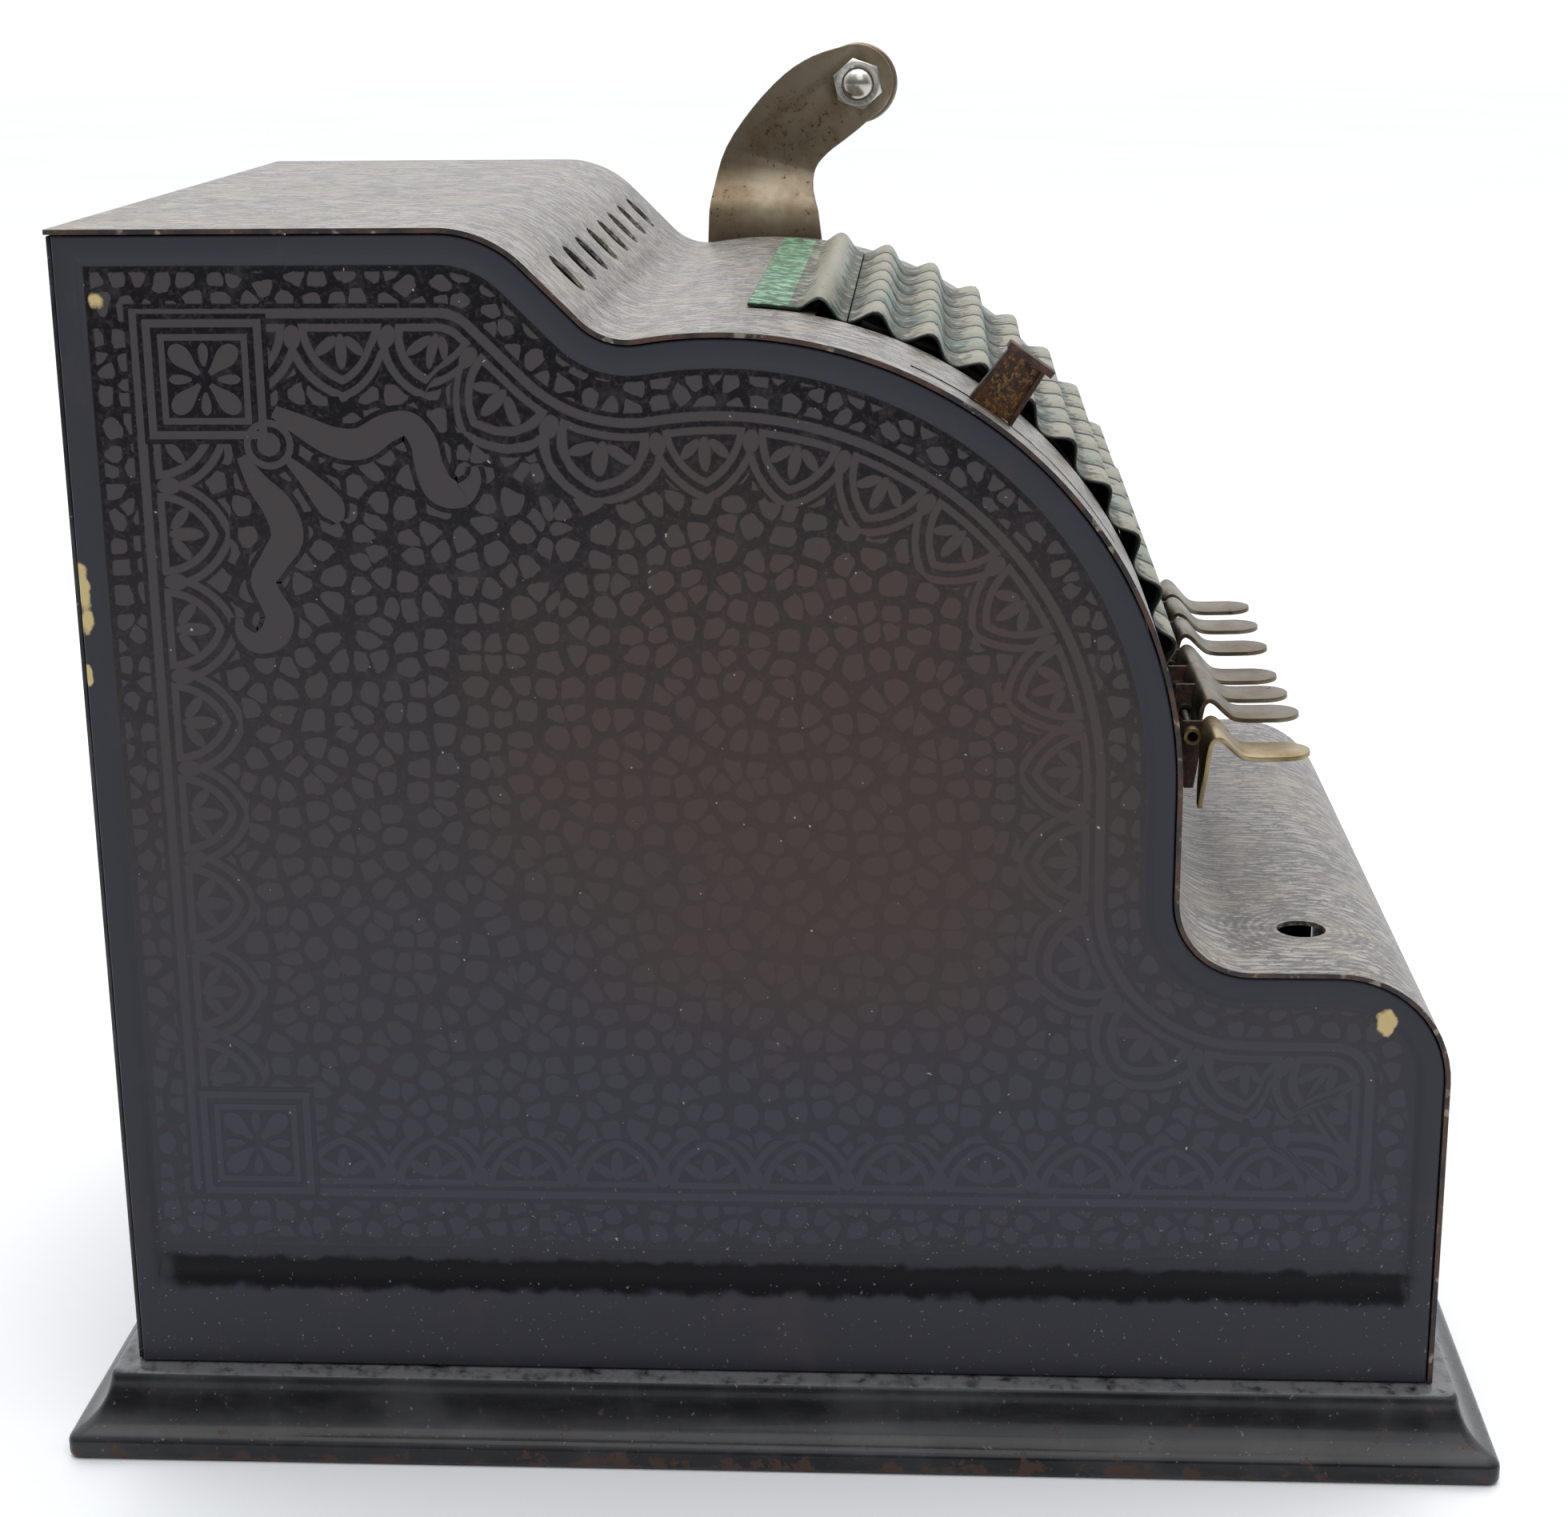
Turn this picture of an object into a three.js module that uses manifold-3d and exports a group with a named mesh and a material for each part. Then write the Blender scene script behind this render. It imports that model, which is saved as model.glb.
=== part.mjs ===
// Crank adding machine in a cash-register-shaped sheet metal case.
// Millimetres, +Z up. Origin on the floor under the middle of the case; the front faces -Y,
// the crank is on the +X side. Angles named "theta" are measured at the main shaft, from
// straight up towards the front.
import * as THREE from 'three';
import { mergeVertices } from 'three/addons/utils/BufferGeometryUtils.js';
import Module from 'manifold-3d';

const wasm = await Module();
wasm.setup();

// ---- driving dimensions ----------------------------------------------------------------
const CASE_DEPTH = 280;
const CASE_WIDTH = 197;
const CASE_TOP = 260.5;
const SHEET = 1;
const GAP = 0.3;

const PLINTH_HEIGHT = 16.4;
const PLINTH_FLARE = 13;
const PLINTH_INSIDE = 8;
const PLINTH_CORNER = 2.5;
const BOTTOM_SHEET = 2;

const SHAFT_Y = 9.6;
const SHAFT_Z = 147.5;
const SHAFT_RADIUS = 5;
const BOSS_RADIUS = 92.8;
const VALLEY_RADIUS = 12.6;
const VALLEY_THETA = -9.34;
const SHOULDER_RADIUS = 24.4;
const WALL_FILLET = 15.1;
const SHELF_Z = 109.4;
const LIP_RADIUS = 24.1;

const COLUMNS = 7;
const COLUMN_PITCH = 20.45;
const FIRST_COLUMN_X = -48.2;
const STRIP_WIDTH = 19.8;
const STRIP_SHEET = 0.8;
const RIDGE_PITCH = 7.35;
const FIRST_RIDGE = 11.2;
const RIDGE_TOP = 96.85;
const RIDGE_FOOT = 93.1;
const SLIDE_RIDGES = 9;

const OPENING_THETA = 11;
const OPENING_BOTTOM = 117.5;
const WINDOW_LENGTH = 10;
const WINDOW_WIDTH = 8;
const WINDOW_DOWN_SLOPE = 9.3;
const SHELF_HOLE = { x: -71.3, y: -111.8, radius: 5.2 };

const KEY_ROD = { y: -90.2, z: 144, radius: 0.9 };
const KEY_SHEET = 1;
const KEY_WIDTH = 18;
const KEY_TAB_WIDTH = 12;
const KEY_TIP_Y = -115.3;
const KEY_DROPS = [2.6, -0.5, 0.4, 1.4, -0.6, -1.1, -1.3];

const WHEELS = COLUMNS + 1;
const WHEEL_RADIUS = 18.6;
const WHEEL_DEPTH = 21;
const WHEEL_TEETH = 10;
const SECTOR_TIP = 80.4;
const SECTOR_ROOT = 76.4;

const ARM_SHEET = 2.5;
const ARM_X = 101;
const ARM_JOGGLE = 8.5;
const BOLT = { y: -12.5, z: 278.8, radius: 4.1 };
const ARM_END = { y: -11.8, z: 279, radius: 9.9 };
const GRIP_LENGTH = 70;

const LEVER_X = -87.5;
const LEVER_SHEET = 1.2;
const LEVER_THETA = 35.2;
const LEVER_SLOT = [24, 58];

// ---- finishes --------------------------------------------------------------------------
const FINISHES = {
  coverEnamel: [0x6b6a69, 0.55, 0.1],
  sideEnamel: [0x2f2e33, 0.5, 0.1],
  plinthEnamel: [0x1b1c22, 0.3, 0.1],
  greenEnamel: [0x9aa893, 0.6, 0.1],
  nickel: [0x8f877b, 0.35, 0.9],
  keyNickel: [0xa0937f, 0.4, 0.9],
  steel: [0x8a8c90, 0.4, 0.9],
  rustedSteel: [0x5b3a22, 0.85, 0.4],
  wheelWhite: [0xd9d6cc, 0.5, 0.0],
  darkWood: [0x1c1512, 0.4, 0.0],
};

function finish(name) {
  const [color, roughness, metalness] = FINISHES[name];
  return new THREE.MeshStandardMaterial({ color, roughness, metalness });
}

// ---- geometry helpers ------------------------------------------------------------------
const rad = THREE.MathUtils.degToRad;

// A point of the Y-Z plane at a radius and theta from the main shaft.
function polar(radius, theta) {
  const a = rad(theta);
  return new THREE.Vector2(SHAFT_Y - radius * Math.sin(a), SHAFT_Z + radius * Math.cos(a));
}

function polarArc(radius, from, to, steps) {
  return range(steps + 1).map((i) => polar(radius, from + ((to - from) * i) / steps));
}

function range(count) {
  return Array.from({ length: count }, (_, i) => i);
}

// Points of an arc in the Y-Z plane, angles in degrees from +Y towards +Z.
function arc(y, z, radius, from, to, steps) {
  return range(steps + 1).map((i) => {
    const a = rad(from + ((to - from) * i) / steps);
    return new THREE.Vector2(y + radius * Math.cos(a), z + radius * Math.sin(a));
  });
}

function at(y, z) {
  return new THREE.Vector2(y, z);
}

// A flat outline in the Y-Z plane, drawn out along X from x0 to x1.
function prism(points, x0, x1, holes = []) {
  const counterClockwise = THREE.ShapeUtils.isClockWise(points) ? [...points].reverse() : points;
  const shape = new THREE.Shape(counterClockwise);
  shape.holes = holes.map((hole) => new THREE.Path(hole));
  const geometry = new THREE.ExtrudeGeometry(shape, { depth: x1 - x0, bevelEnabled: false });
  const toYZ = new THREE.Matrix4().set(0, 0, 1, x0, 1, 0, 0, 0, 0, 1, 0, 0, 0, 0, 0, 1);
  return geometry.applyMatrix4(toYZ);
}

// A disc or a ring about an axis parallel to X, as a lathe of [x, radius] points.
function turned(profile, y, z, segments) {
  const points = profile.map(([x, radius]) => new THREE.Vector2(radius, x));
  const geometry = new THREE.LatheGeometry(points, segments);
  geometry.rotateZ(-Math.PI / 2);
  return geometry.translate(0, y, z);
}

function rod(radius, x0, x1, y, z, segments = 16) {
  const geometry = new THREE.CylinderGeometry(radius, radius, x1 - x0, segments);
  geometry.rotateZ(-Math.PI / 2);
  return geometry.translate((x0 + x1) / 2, y, z);
}

function block(x0, x1, y0, y1, z0, z1) {
  const geometry = new THREE.BoxGeometry(x1 - x0, y1 - y0, z1 - z0);
  return geometry.translate((x0 + x1) / 2, (y0 + y1) / 2, (z0 + z1) / 2);
}

function circle(y, z, radius, steps = 16) {
  return arc(y, z, radius, 0, 360 - 360 / steps, steps - 1);
}

// A strip of sheet along a path in the Y-Z plane, half its thickness to each side.
function ribbon(path, thickness) {
  const sides = [[], []];
  path.forEach((point, i) => {
    const ahead = path[Math.min(i + 1, path.length - 1)];
    const behind = path[Math.max(i - 1, 0)];
    const along = ahead.clone().sub(behind).normalize();
    const across = at(-along.y, along.x).multiplyScalar(thickness / 2);
    sides[0].push(point.clone().add(across));
    sides[1].unshift(point.clone().sub(across));
  });
  return [...sides[0], ...sides[1]];
}

// ---- joining and cutting ---------------------------------------------------------------
function welded(geometry) {
  const bare = geometry.clone();
  bare.deleteAttribute('normal');
  bare.deleteAttribute('uv');
  return mergeVertices(bare, 1e-4);
}

function volumeOf(geometry) {
  const { position } = geometry.attributes;
  const index = geometry.index.array;
  const [a, b, c] = [0, 1, 2].map(() => new THREE.Vector3());
  let volume = 0;
  for (let i = 0; i < index.length; i += 3) {
    a.fromBufferAttribute(position, index[i]);
    b.fromBufferAttribute(position, index[i + 1]);
    c.fromBufferAttribute(position, index[i + 2]);
    volume += a.dot(b.cross(c)) / 6;
  }
  return volume;
}

// Faces of a turned shape follow the order of its profile, so they are turned outwards here.
function outward(geometry) {
  const closed = welded(geometry);
  if (volumeOf(closed) < 0) closed.index.array.reverse();
  return closed;
}

function solid(geometry) {
  const closed = outward(geometry);
  const vertProperties = new Float32Array(closed.attributes.position.array);
  const triVerts = new Uint32Array(closed.index.array);
  return new wasm.Manifold(new wasm.Mesh({ numProp: 3, vertProperties, triVerts }));
}

function geometryOf(body) {
  const mesh = body.getMesh();
  const geometry = new THREE.BufferGeometry();
  geometry.setAttribute('position', new THREE.BufferAttribute(mesh.vertProperties, 3));
  geometry.setIndex(new THREE.BufferAttribute(mesh.triVerts, 1));
  return geometry;
}

function joined(...geometries) {
  const [first, ...rest] = geometries.map(solid);
  return geometryOf(rest.reduce((body, next) => body.add(next), first));
}

function cut(geometry, ...tools) {
  const body = tools.map(solid).reduce((left, tool) => left.subtract(tool), solid(geometry));
  return geometryOf(body);
}

function common(geometry, tool) {
  return geometryOf(solid(geometry).intersect(solid(tool)));
}

// ---- the case outline ------------------------------------------------------------------
const VALLEY = polar(BOSS_RADIUS + VALLEY_RADIUS, VALLEY_THETA);
const SLOPE_OFFSET = VALLEY.y - VALLEY.x - VALLEY_RADIUS * Math.SQRT2;
const SHOULDER = at(
  CASE_TOP - SLOPE_OFFSET + SHOULDER_RADIUS * (Math.SQRT2 - 1),
  CASE_TOP - SHOULDER_RADIUS,
);
const WALL_Y = SHAFT_Y - BOSS_RADIUS;
const FRONT_Y = -CASE_DEPTH / 2;
const BACK_Y = CASE_DEPTH / 2;
const SKIRT_Z = PLINTH_HEIGHT + GAP;

// The side view of the case from the top back corner, over the keyboard, to the front foot.
function caseOutline(inset) {
  return [
    at(BACK_Y, CASE_TOP - inset),
    ...arc(SHOULDER.x, SHOULDER.y, SHOULDER_RADIUS - inset, 90, 135, 5),
    ...arc(VALLEY.x, VALLEY.y, VALLEY_RADIUS + inset, -45, VALLEY_THETA - 90, 5),
    ...polarArc(BOSS_RADIUS - inset, VALLEY_THETA, 90, 22).slice(1),
    ...arc(WALL_Y - WALL_FILLET, SHELF_Z + WALL_FILLET, WALL_FILLET + inset, 0, -90, 6),
    ...arc(FRONT_Y + LIP_RADIUS, SHELF_Z - LIP_RADIUS, LIP_RADIUS - inset, 90, 180, 6),
    at(FRONT_Y + inset, SKIRT_Z),
  ];
}

const columnX = (column) => FIRST_COLUMN_X + COLUMN_PITCH * column;
const windowX = (wheel) => columnX(wheel - 1);
const KEYBOARD_LEFT = columnX(0) - STRIP_WIDTH / 2;
const KEYBOARD_RIGHT = columnX(COLUMNS - 1) + STRIP_WIDTH / 2;

// Middle of the row of number windows on the slope, and the slope's outward direction.
const WINDOW_Y = SHOULDER.x - SHOULDER_RADIUS / Math.SQRT2 - WINDOW_DOWN_SLOPE / Math.SQRT2 + 2;
const WINDOW_Z = WINDOW_Y + SLOPE_OFFSET;
const WHEEL_Y = WINDOW_Y + WHEEL_DEPTH / Math.SQRT2;
const WHEEL_Z = WINDOW_Z - WHEEL_DEPTH / Math.SQRT2;

// ---- plinth and casing -----------------------------------------------------------------
// Ogee moulding, as [share of the flare, share of the height] from the top ledge down.
const OGEE = [
  [0, 1], [0.3, 1], [0.38, 0.97], [0.42, 0.88], [0.46, 0.72], [0.54, 0.55],
  [0.68, 0.42], [0.85, 0.33], [0.97, 0.27], [1, 0.22], [1, 0.08], [0.96, 0],
];

// A moulding carried round a rectangle with small round corners: a lathe is opened out into
// four corners, and each corner is moved out to its place.
function mouldingRound(profile, halfX, halfY, corner, cornerSteps) {
  const perCorner = cornerSteps + 1;
  const reach = 50;
  const points = profile.map(([out, z]) => new THREE.Vector2(out + reach, z));
  points.push(points[0].clone());
  const geometry = new THREE.LatheGeometry(points, 4 * perCorner);
  const { position } = geometry.attributes;
  for (let i = 0; i < position.count; i++) {
    const step = Math.floor(i / points.length) % (4 * perCorner);
    const quarter = Math.floor(step / perCorner);
    const angle = rad(90 * (quarter + (step % perCorner) / cornerSteps));
    const out = points[i % points.length].x - reach;
    const middle = rad(90 * quarter + 45);
    const x = Math.sign(Math.cos(middle)) * (halfX + out - corner) + corner * Math.cos(angle);
    const y = Math.sign(Math.sin(middle)) * (halfY + out - corner) + corner * Math.sin(angle);
    position.setXYZ(i, x, y, points[i % points.length].y);
  }
  return outward(geometry);
}

function basePlinth() {
  const outer = OGEE.map(([out, z]) => [out * PLINTH_FLARE, z * PLINTH_HEIGHT]);
  const profile = [[-PLINTH_INSIDE, PLINTH_HEIGHT], ...outer, [-PLINTH_INSIDE, 0]];
  return mouldingRound(profile, CASE_WIDTH / 2, CASE_DEPTH / 2, PLINTH_CORNER, 3);
}

function bottomPlate() {
  const halfX = CASE_WIDTH / 2 - PLINTH_INSIDE - GAP;
  const halfY = CASE_DEPTH / 2 - PLINTH_INSIDE - GAP;
  const c = PLINTH_CORNER;
  const shape = new THREE.Shape();
  shape.absarc(halfX - c, halfY - c, c, 0, Math.PI / 2, false);
  shape.absarc(c - halfX, halfY - c, c, Math.PI / 2, Math.PI, false);
  shape.absarc(c - halfX, c - halfY, c, Math.PI, 1.5 * Math.PI, false);
  shape.absarc(halfX - c, c - halfY, c, 1.5 * Math.PI, 2 * Math.PI, false);
  const options = { depth: BOTTOM_SHEET, bevelEnabled: false, curveSegments: 3 };
  return new THREE.ExtrudeGeometry(shape, options);
}

function sidePanel(x0, x1, holes) {
  const edge = caseOutline(SHEET + GAP);
  return prism([...edge, at(BACK_Y, SKIRT_Z)], x0, x1, holes);
}

function backPanel() {
  const halfX = CASE_WIDTH / 2 - SHEET - GAP;
  const sheet = block(-halfX, halfX, BACK_Y - SHEET, BACK_Y, SKIRT_Z, CASE_TOP - SHEET - GAP);
  return cut(sheet, ...backScrewPlaces().map(([x, z]) => alongY(1.8, BACK_Y - 5, BACK_Y + 5, x, z)));
}

function backScrewPlaces() {
  return [[-88, 28], [88, 28], [-88, 248], [88, 248]];
}

function alongY(radius, y0, y1, x, z) {
  const geometry = new THREE.CylinderGeometry(radius, radius, y1 - y0, 10);
  return geometry.translate(x, (y0 + y1) / 2, z);
}

function backScrew(x, z) {
  const head = [[0, 1.9], [1.6, 1.7], [2.7, 1.1], [3.2, 0.3], [3.2, 0]];
  const shank = [[1.5, 0], [1.5, -7], [0, -7]];
  const points = [...head, ...shank].map(([radius, y]) => new THREE.Vector2(radius, y));
  return outward(new THREE.LatheGeometry(points, 10)).translate(x, BACK_Y + GAP, z);
}

function keyboardOpening() {
  const points = [
    ...polarArc(BOSS_RADIUS + 10, OPENING_THETA, 90, 10),
    at(WALL_Y - 10, OPENING_BOTTOM),
    at(WALL_Y + 10, OPENING_BOTTOM),
    ...polarArc(BOSS_RADIUS - 10, 90, OPENING_THETA, 10),
  ];
  return prism(points, KEYBOARD_LEFT - 0.6, KEYBOARD_RIGHT + 0.6);
}

function bracketNotch(x) {
  return block(x - 1.2, x + 1.2, WALL_Y - 5, WALL_Y + 5, KEY_ROD.z - 8, KEY_ROD.z + 7.5);
}

function windowCutter(x) {
  const oval = new THREE.CylinderGeometry(1, 1, 8, 14);
  oval.rotateX(Math.PI / 2);
  oval.scale(WINDOW_WIDTH / 2, WINDOW_LENGTH / 2, 1);
  oval.rotateX(Math.PI / 4);
  return oval.translate(x, WINDOW_Y, WINDOW_Z);
}

function leverSlot() {
  const [from, to] = LEVER_SLOT;
  const points = [...polarArc(BOSS_RADIUS - 5, from, to, 5), ...polarArc(BOSS_RADIUS + 5, to, from, 5)];
  return prism(points, LEVER_X - 1.1, LEVER_X + 1.1);
}

function shelfHole() {
  const { x, y, radius } = SHELF_HOLE;
  const drill = new THREE.CylinderGeometry(radius, radius, 10, 20);
  drill.rotateX(Math.PI / 2);
  return drill.translate(x, y, SHELF_Z);
}

const BRACKET_MIDDLE_X = columnX(2.5);
const BRACKET_RIGHT_X = KEYBOARD_RIGHT + 1.5;

function topCover() {
  const sheet = [...caseOutline(0), ...caseOutline(SHEET).reverse()];
  return cut(
    prism(sheet, -CASE_WIDTH / 2, CASE_WIDTH / 2),
    keyboardOpening(),
    bracketNotch(BRACKET_RIGHT_X),
    leverSlot(),
    shelfHole(),
    ...range(WHEELS).map((wheel) => windowCutter(windowX(wheel))),
  );
}

// ---- corrugated keyboard ---------------------------------------------------------------
// Radius of the corrugated sheet's outer face: narrow ridges between wider troughs.
function corrugation(theta) {
  const phase = rad((360 * (theta - FIRST_RIDGE)) / RIDGE_PITCH);
  const rise = ((1 + Math.cos(phase)) / 2) ** 1.2;
  return RIDGE_FOOT + (RIDGE_TOP - RIDGE_FOOT) * rise;
}

function sheetSection(radiusAt, from, to, steps) {
  const thetas = range(steps + 1).map((i) => from + ((to - from) * i) / steps);
  const outer = thetas.map((theta) => polar(radiusAt(theta), theta));
  const inner = thetas.map((theta) => polar(radiusAt(theta) - STRIP_SHEET, theta));
  return [...outer, ...inner.reverse()];
}

const SLIDE_START = FIRST_RIDGE + 0.55 * RIDGE_PITCH;
const SLIDE_END = FIRST_RIDGE + (SLIDE_RIDGES + 0.5) * RIDGE_PITCH;

// The fixed plate lies flat on the cover, rises over the first ridge and ends in its trough.
function keyboardTopPlate() {
  const flat = BOSS_RADIUS + GAP + STRIP_SHEET;
  const radiusAt = (theta) => {
    if (theta < FIRST_RIDGE - RIDGE_PITCH / 2) return flat;
    return theta < FIRST_RIDGE ? Math.max(flat, corrugation(theta)) : corrugation(theta);
  };
  const section = sheetSection(radiusAt, 2.2, SLIDE_START - GAP, 20);
  return prism(section, KEYBOARD_LEFT, KEYBOARD_RIGHT);
}

function slideStrip(x) {
  const section = sheetSection(corrugation, SLIDE_START, SLIDE_END, SLIDE_RIDGES * 5);
  return prism(section, x - STRIP_WIDTH / 2, x + STRIP_WIDTH / 2);
}

// One tooth of the sector's rack for each ridge of travel, behind the number wheels.
function rackTeeth() {
  const wheelTheta = -THREE.MathUtils.radToDeg(Math.atan2(WHEEL_Y - SHAFT_Y, WHEEL_Z - SHAFT_Z));
  return range(SLIDE_RIDGES).flatMap((tooth) => {
    const theta = wheelTheta - RIDGE_PITCH * (tooth + 0.5);
    return [polar(SECTOR_ROOT, theta + 2), polar(SECTOR_TIP, theta), polar(SECTOR_ROOT, theta - 2)];
  });
}

function slideSector(x) {
  const shoe = RIDGE_FOOT - STRIP_SHEET - GAP;
  const plate = [
    ...polarArc(shoe - 0.6, 80, 17, 6),
    polar(SECTOR_ROOT, 14),
    polar(SECTOR_ROOT, -4),
    ...rackTeeth(),
    ...polarArc(SHAFT_RADIUS + 3, -110, -250, 4),
  ];
  const lightening = [
    [...polarArc(66, 58, 24, 2), polar(24, 24), polar(24, 58)],
    [...polarArc(66, 8, -26, 2), polar(24, -26), polar(24, 8)],
    [...polarArc(64, -40, -76, 2), polar(24, -76), polar(24, -40)],
  ];
  const flange = [...polarArc(shoe - 1.4, 80, 17, 6), ...polarArc(shoe, 17, 80, 6)];
  const hub = rod(9, x - 9.2, x + 9.2, SHAFT_Y, SHAFT_Z, 12);
  const body = joined(prism(plate, x + 6.2, x + 7.8, lightening), prism(flange, x - 7, x + 7.8), hub);
  return cut(body, rod(SHAFT_RADIUS + 0.5, x - 10, x + 10, SHAFT_Y, SHAFT_Z, 12));
}

// ---- release keys ----------------------------------------------------------------------
function keyPath(drop) {
  const points = [
    [-90.9, 134.5], [-92, 142], [-92.6, 147.6], [-93.3, 149.5], [-94.5, 150.1], [-95.9, 149.5],
    [-98.1, 147], [-99.7, 145.4], [-101.4, 144.8], [-105, 144.7], [KEY_TIP_Y, 145],
  ];
  return points.map(([y, z]) => at(y, z - drop));
}

// The key from above: a broad hump that narrows to a round-ended finger tab.
function keyPlan() {
  const tab = KEY_TAB_WIDTH / 2;
  const shape = new THREE.Shape();
  shape.moveTo(-KEY_WIDTH / 2, -86);
  shape.lineTo(-KEY_WIDTH / 2, -96.5);
  shape.quadraticCurveTo(-tab, -98.5, -tab, -102);
  shape.absarc(0, KEY_TIP_Y + tab, tab, Math.PI, 2 * Math.PI, false);
  shape.lineTo(tab, -102);
  shape.quadraticCurveTo(tab, -98.5, KEY_WIDTH / 2, -96.5);
  shape.lineTo(KEY_WIDTH / 2, -86);
  const options = { depth: 40, bevelEnabled: false, curveSegments: 3 };
  return new THREE.ExtrudeGeometry(shape, options).translate(0, 0, 120);
}

// What is cut from the leg, seen from the front, so that it tapers to a blunt end.
function legTaper(drop) {
  const shape = new THREE.Shape([
    new THREE.Vector2(10, 147 - drop),
    new THREE.Vector2(-6.3, 134.5 - drop),
    new THREE.Vector2(-6.3, 125),
    new THREE.Vector2(10, 125),
  ]);
  const geometry = new THREE.ExtrudeGeometry(shape, { depth: 9, bevelEnabled: false });
  geometry.rotateX(Math.PI / 2);
  return geometry.translate(0, -87, 0);
}

function fingerKey(x, drop) {
  const half = KEY_WIDTH / 2;
  const { y, z, radius } = KEY_ROD;
  const sheet = common(prism(ribbon(keyPath(drop), KEY_SHEET), -half, half), keyPlan());
  const cheek = [
    at(-93.3, 149.7 - drop), at(-88.3, 149.7 - drop), at(-88.3, 138), at(-88.9, 134),
    at(-91, 134), at(-92.2, 142),
  ];
  const barrel = rod(radius + GAP + 0.7, half - 4, half - 0.5, y, z, 8);
  const body = joined(cut(sheet, legTaper(drop)), prism(cheek, half - KEY_SHEET, half), barrel);
  return cut(body, rod(radius + GAP, -half - 2, half + 2, y, z, 8)).translate(x, 0, 0);
}

// Lug that stands on the cover between two keys and holds the middle of their rod.
function middleKeyBracket() {
  const { y, z, radius } = KEY_ROD;
  const plate = [
    at(-93, z + 2.8), at(-88, z + 2.8), at(-88, 130), at(-85.8, 121),
    ...arc(WALL_Y - WALL_FILLET, SHELF_Z + WALL_FILLET, WALL_FILLET - GAP, -25, -50, 3),
    at(-91.6, 118), at(-93, 138),
  ];
  return prism(plate, BRACKET_MIDDLE_X - 0.6, BRACKET_MIDDLE_X + 0.6, [circle(y, z, radius + GAP, 10)]);
}

// Plate at the right-hand end of the rod; it passes through the cover to the front tie rod.
function rightKeyBracket() {
  const x = BRACKET_RIGHT_X;
  const { y, z, radius } = KEY_ROD;
  const plate = [
    at(-93, z + 2.8), at(-93, z - 3), at(-81.6, z - 6), at(-81.6, 118), at(-93, 104), at(-93, 93),
    at(-82, 93), at(-74, 112), at(-74, z + 5.5), at(-86, z + 5.5),
  ];
  const holes = [circle(y, z, radius + GAP, 10), circle(TIE_FRONT.y, TIE_FRONT.z, TIE_RADIUS + GAP)];
  return prism(plate, x - 0.6, x + 0.6, holes);
}

// ---- frame, shafts and counting wheels -------------------------------------------------
const FRAME_SHEET = 1.5;
const FRAME_LEFT_X = -79.7;
const FRAME_RIGHT_X = 88.2;
const TIE_RADIUS = 3;
const TIE_FRONT = { y: -87.5, z: 98.5 };
const TIE_REAR = { y: 98, z: 62 };
const DIAL_SHAFT_RADIUS = 3;

function frameSide(x) {
  const floor = BOTTOM_SHEET + GAP;
  const plate = [
    at(-95, floor), at(110, floor), at(104, 110), at(86, 222), at(72, 242), at(50, 240),
    at(30, 205), at(-12, 168), at(-60, 112), at(-95, 106),
  ];
  const holes = [
    circle(SHAFT_Y, SHAFT_Z, SHAFT_RADIUS + GAP),
    circle(WHEEL_Y, WHEEL_Z, DIAL_SHAFT_RADIUS + GAP, 12),
    circle(TIE_FRONT.y, TIE_FRONT.z, TIE_RADIUS + GAP, 12),
    circle(TIE_REAR.y, TIE_REAR.z, TIE_RADIUS + GAP, 12),
    [at(-70, 30), at(70, 30), at(60, 90), at(-60, 90)],
  ];
  return prism(plate, x - FRAME_SHEET / 2, x + FRAME_SHEET / 2, holes);
}

function tieRod({ y, z }) {
  return rod(TIE_RADIUS, FRAME_LEFT_X - 3, FRAME_RIGHT_X + 3, y, z, 12);
}

function detentComb() {
  const left = FRAME_LEFT_X + FRAME_SHEET / 2 + GAP;
  const right = FRAME_RIGHT_X - FRAME_SHEET / 2 - GAP;
  const fingers = range(COLUMNS).map((column) => {
    const x = columnX(column);
    return block(x - 5, x + 5, SHAFT_Y - 0.6, SHAFT_Y + 0.6, 117, SHAFT_Z - 9.6);
  });
  return joined(block(left, right, SHAFT_Y - 5, SHAFT_Y + 5, 112, 118), ...fingers);
}

function numberWheel(x) {
  const teeth = range(2 * WHEEL_TEETH).map((i) => {
    const radius = i % 2 ? 13.5 : 17.8;
    const a = rad((180 * (i + 0.5)) / WHEEL_TEETH);
    return at(WHEEL_Y + radius * Math.cos(a), WHEEL_Z + radius * Math.sin(a));
  });
  const drum = rod(WHEEL_RADIUS, x - 6, x + 4.5, WHEEL_Y, WHEEL_Z, 20);
  const neck = rod(8, x + 4, x + 6, WHEEL_Y, WHEEL_Z, 10);
  const body = joined(drum, neck, prism(teeth, x + 5.5, x + 8.5));
  return cut(body, rod(DIAL_SHAFT_RADIUS + GAP, x - 8, x + 10, WHEEL_Y, WHEEL_Z, 10));
}

// ---- crank -----------------------------------------------------------------------------
const JOGGLE_START = 245;
const JOGGLE_END = 257;
const ARM_FOOT_RADIUS = 16.5;

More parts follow.
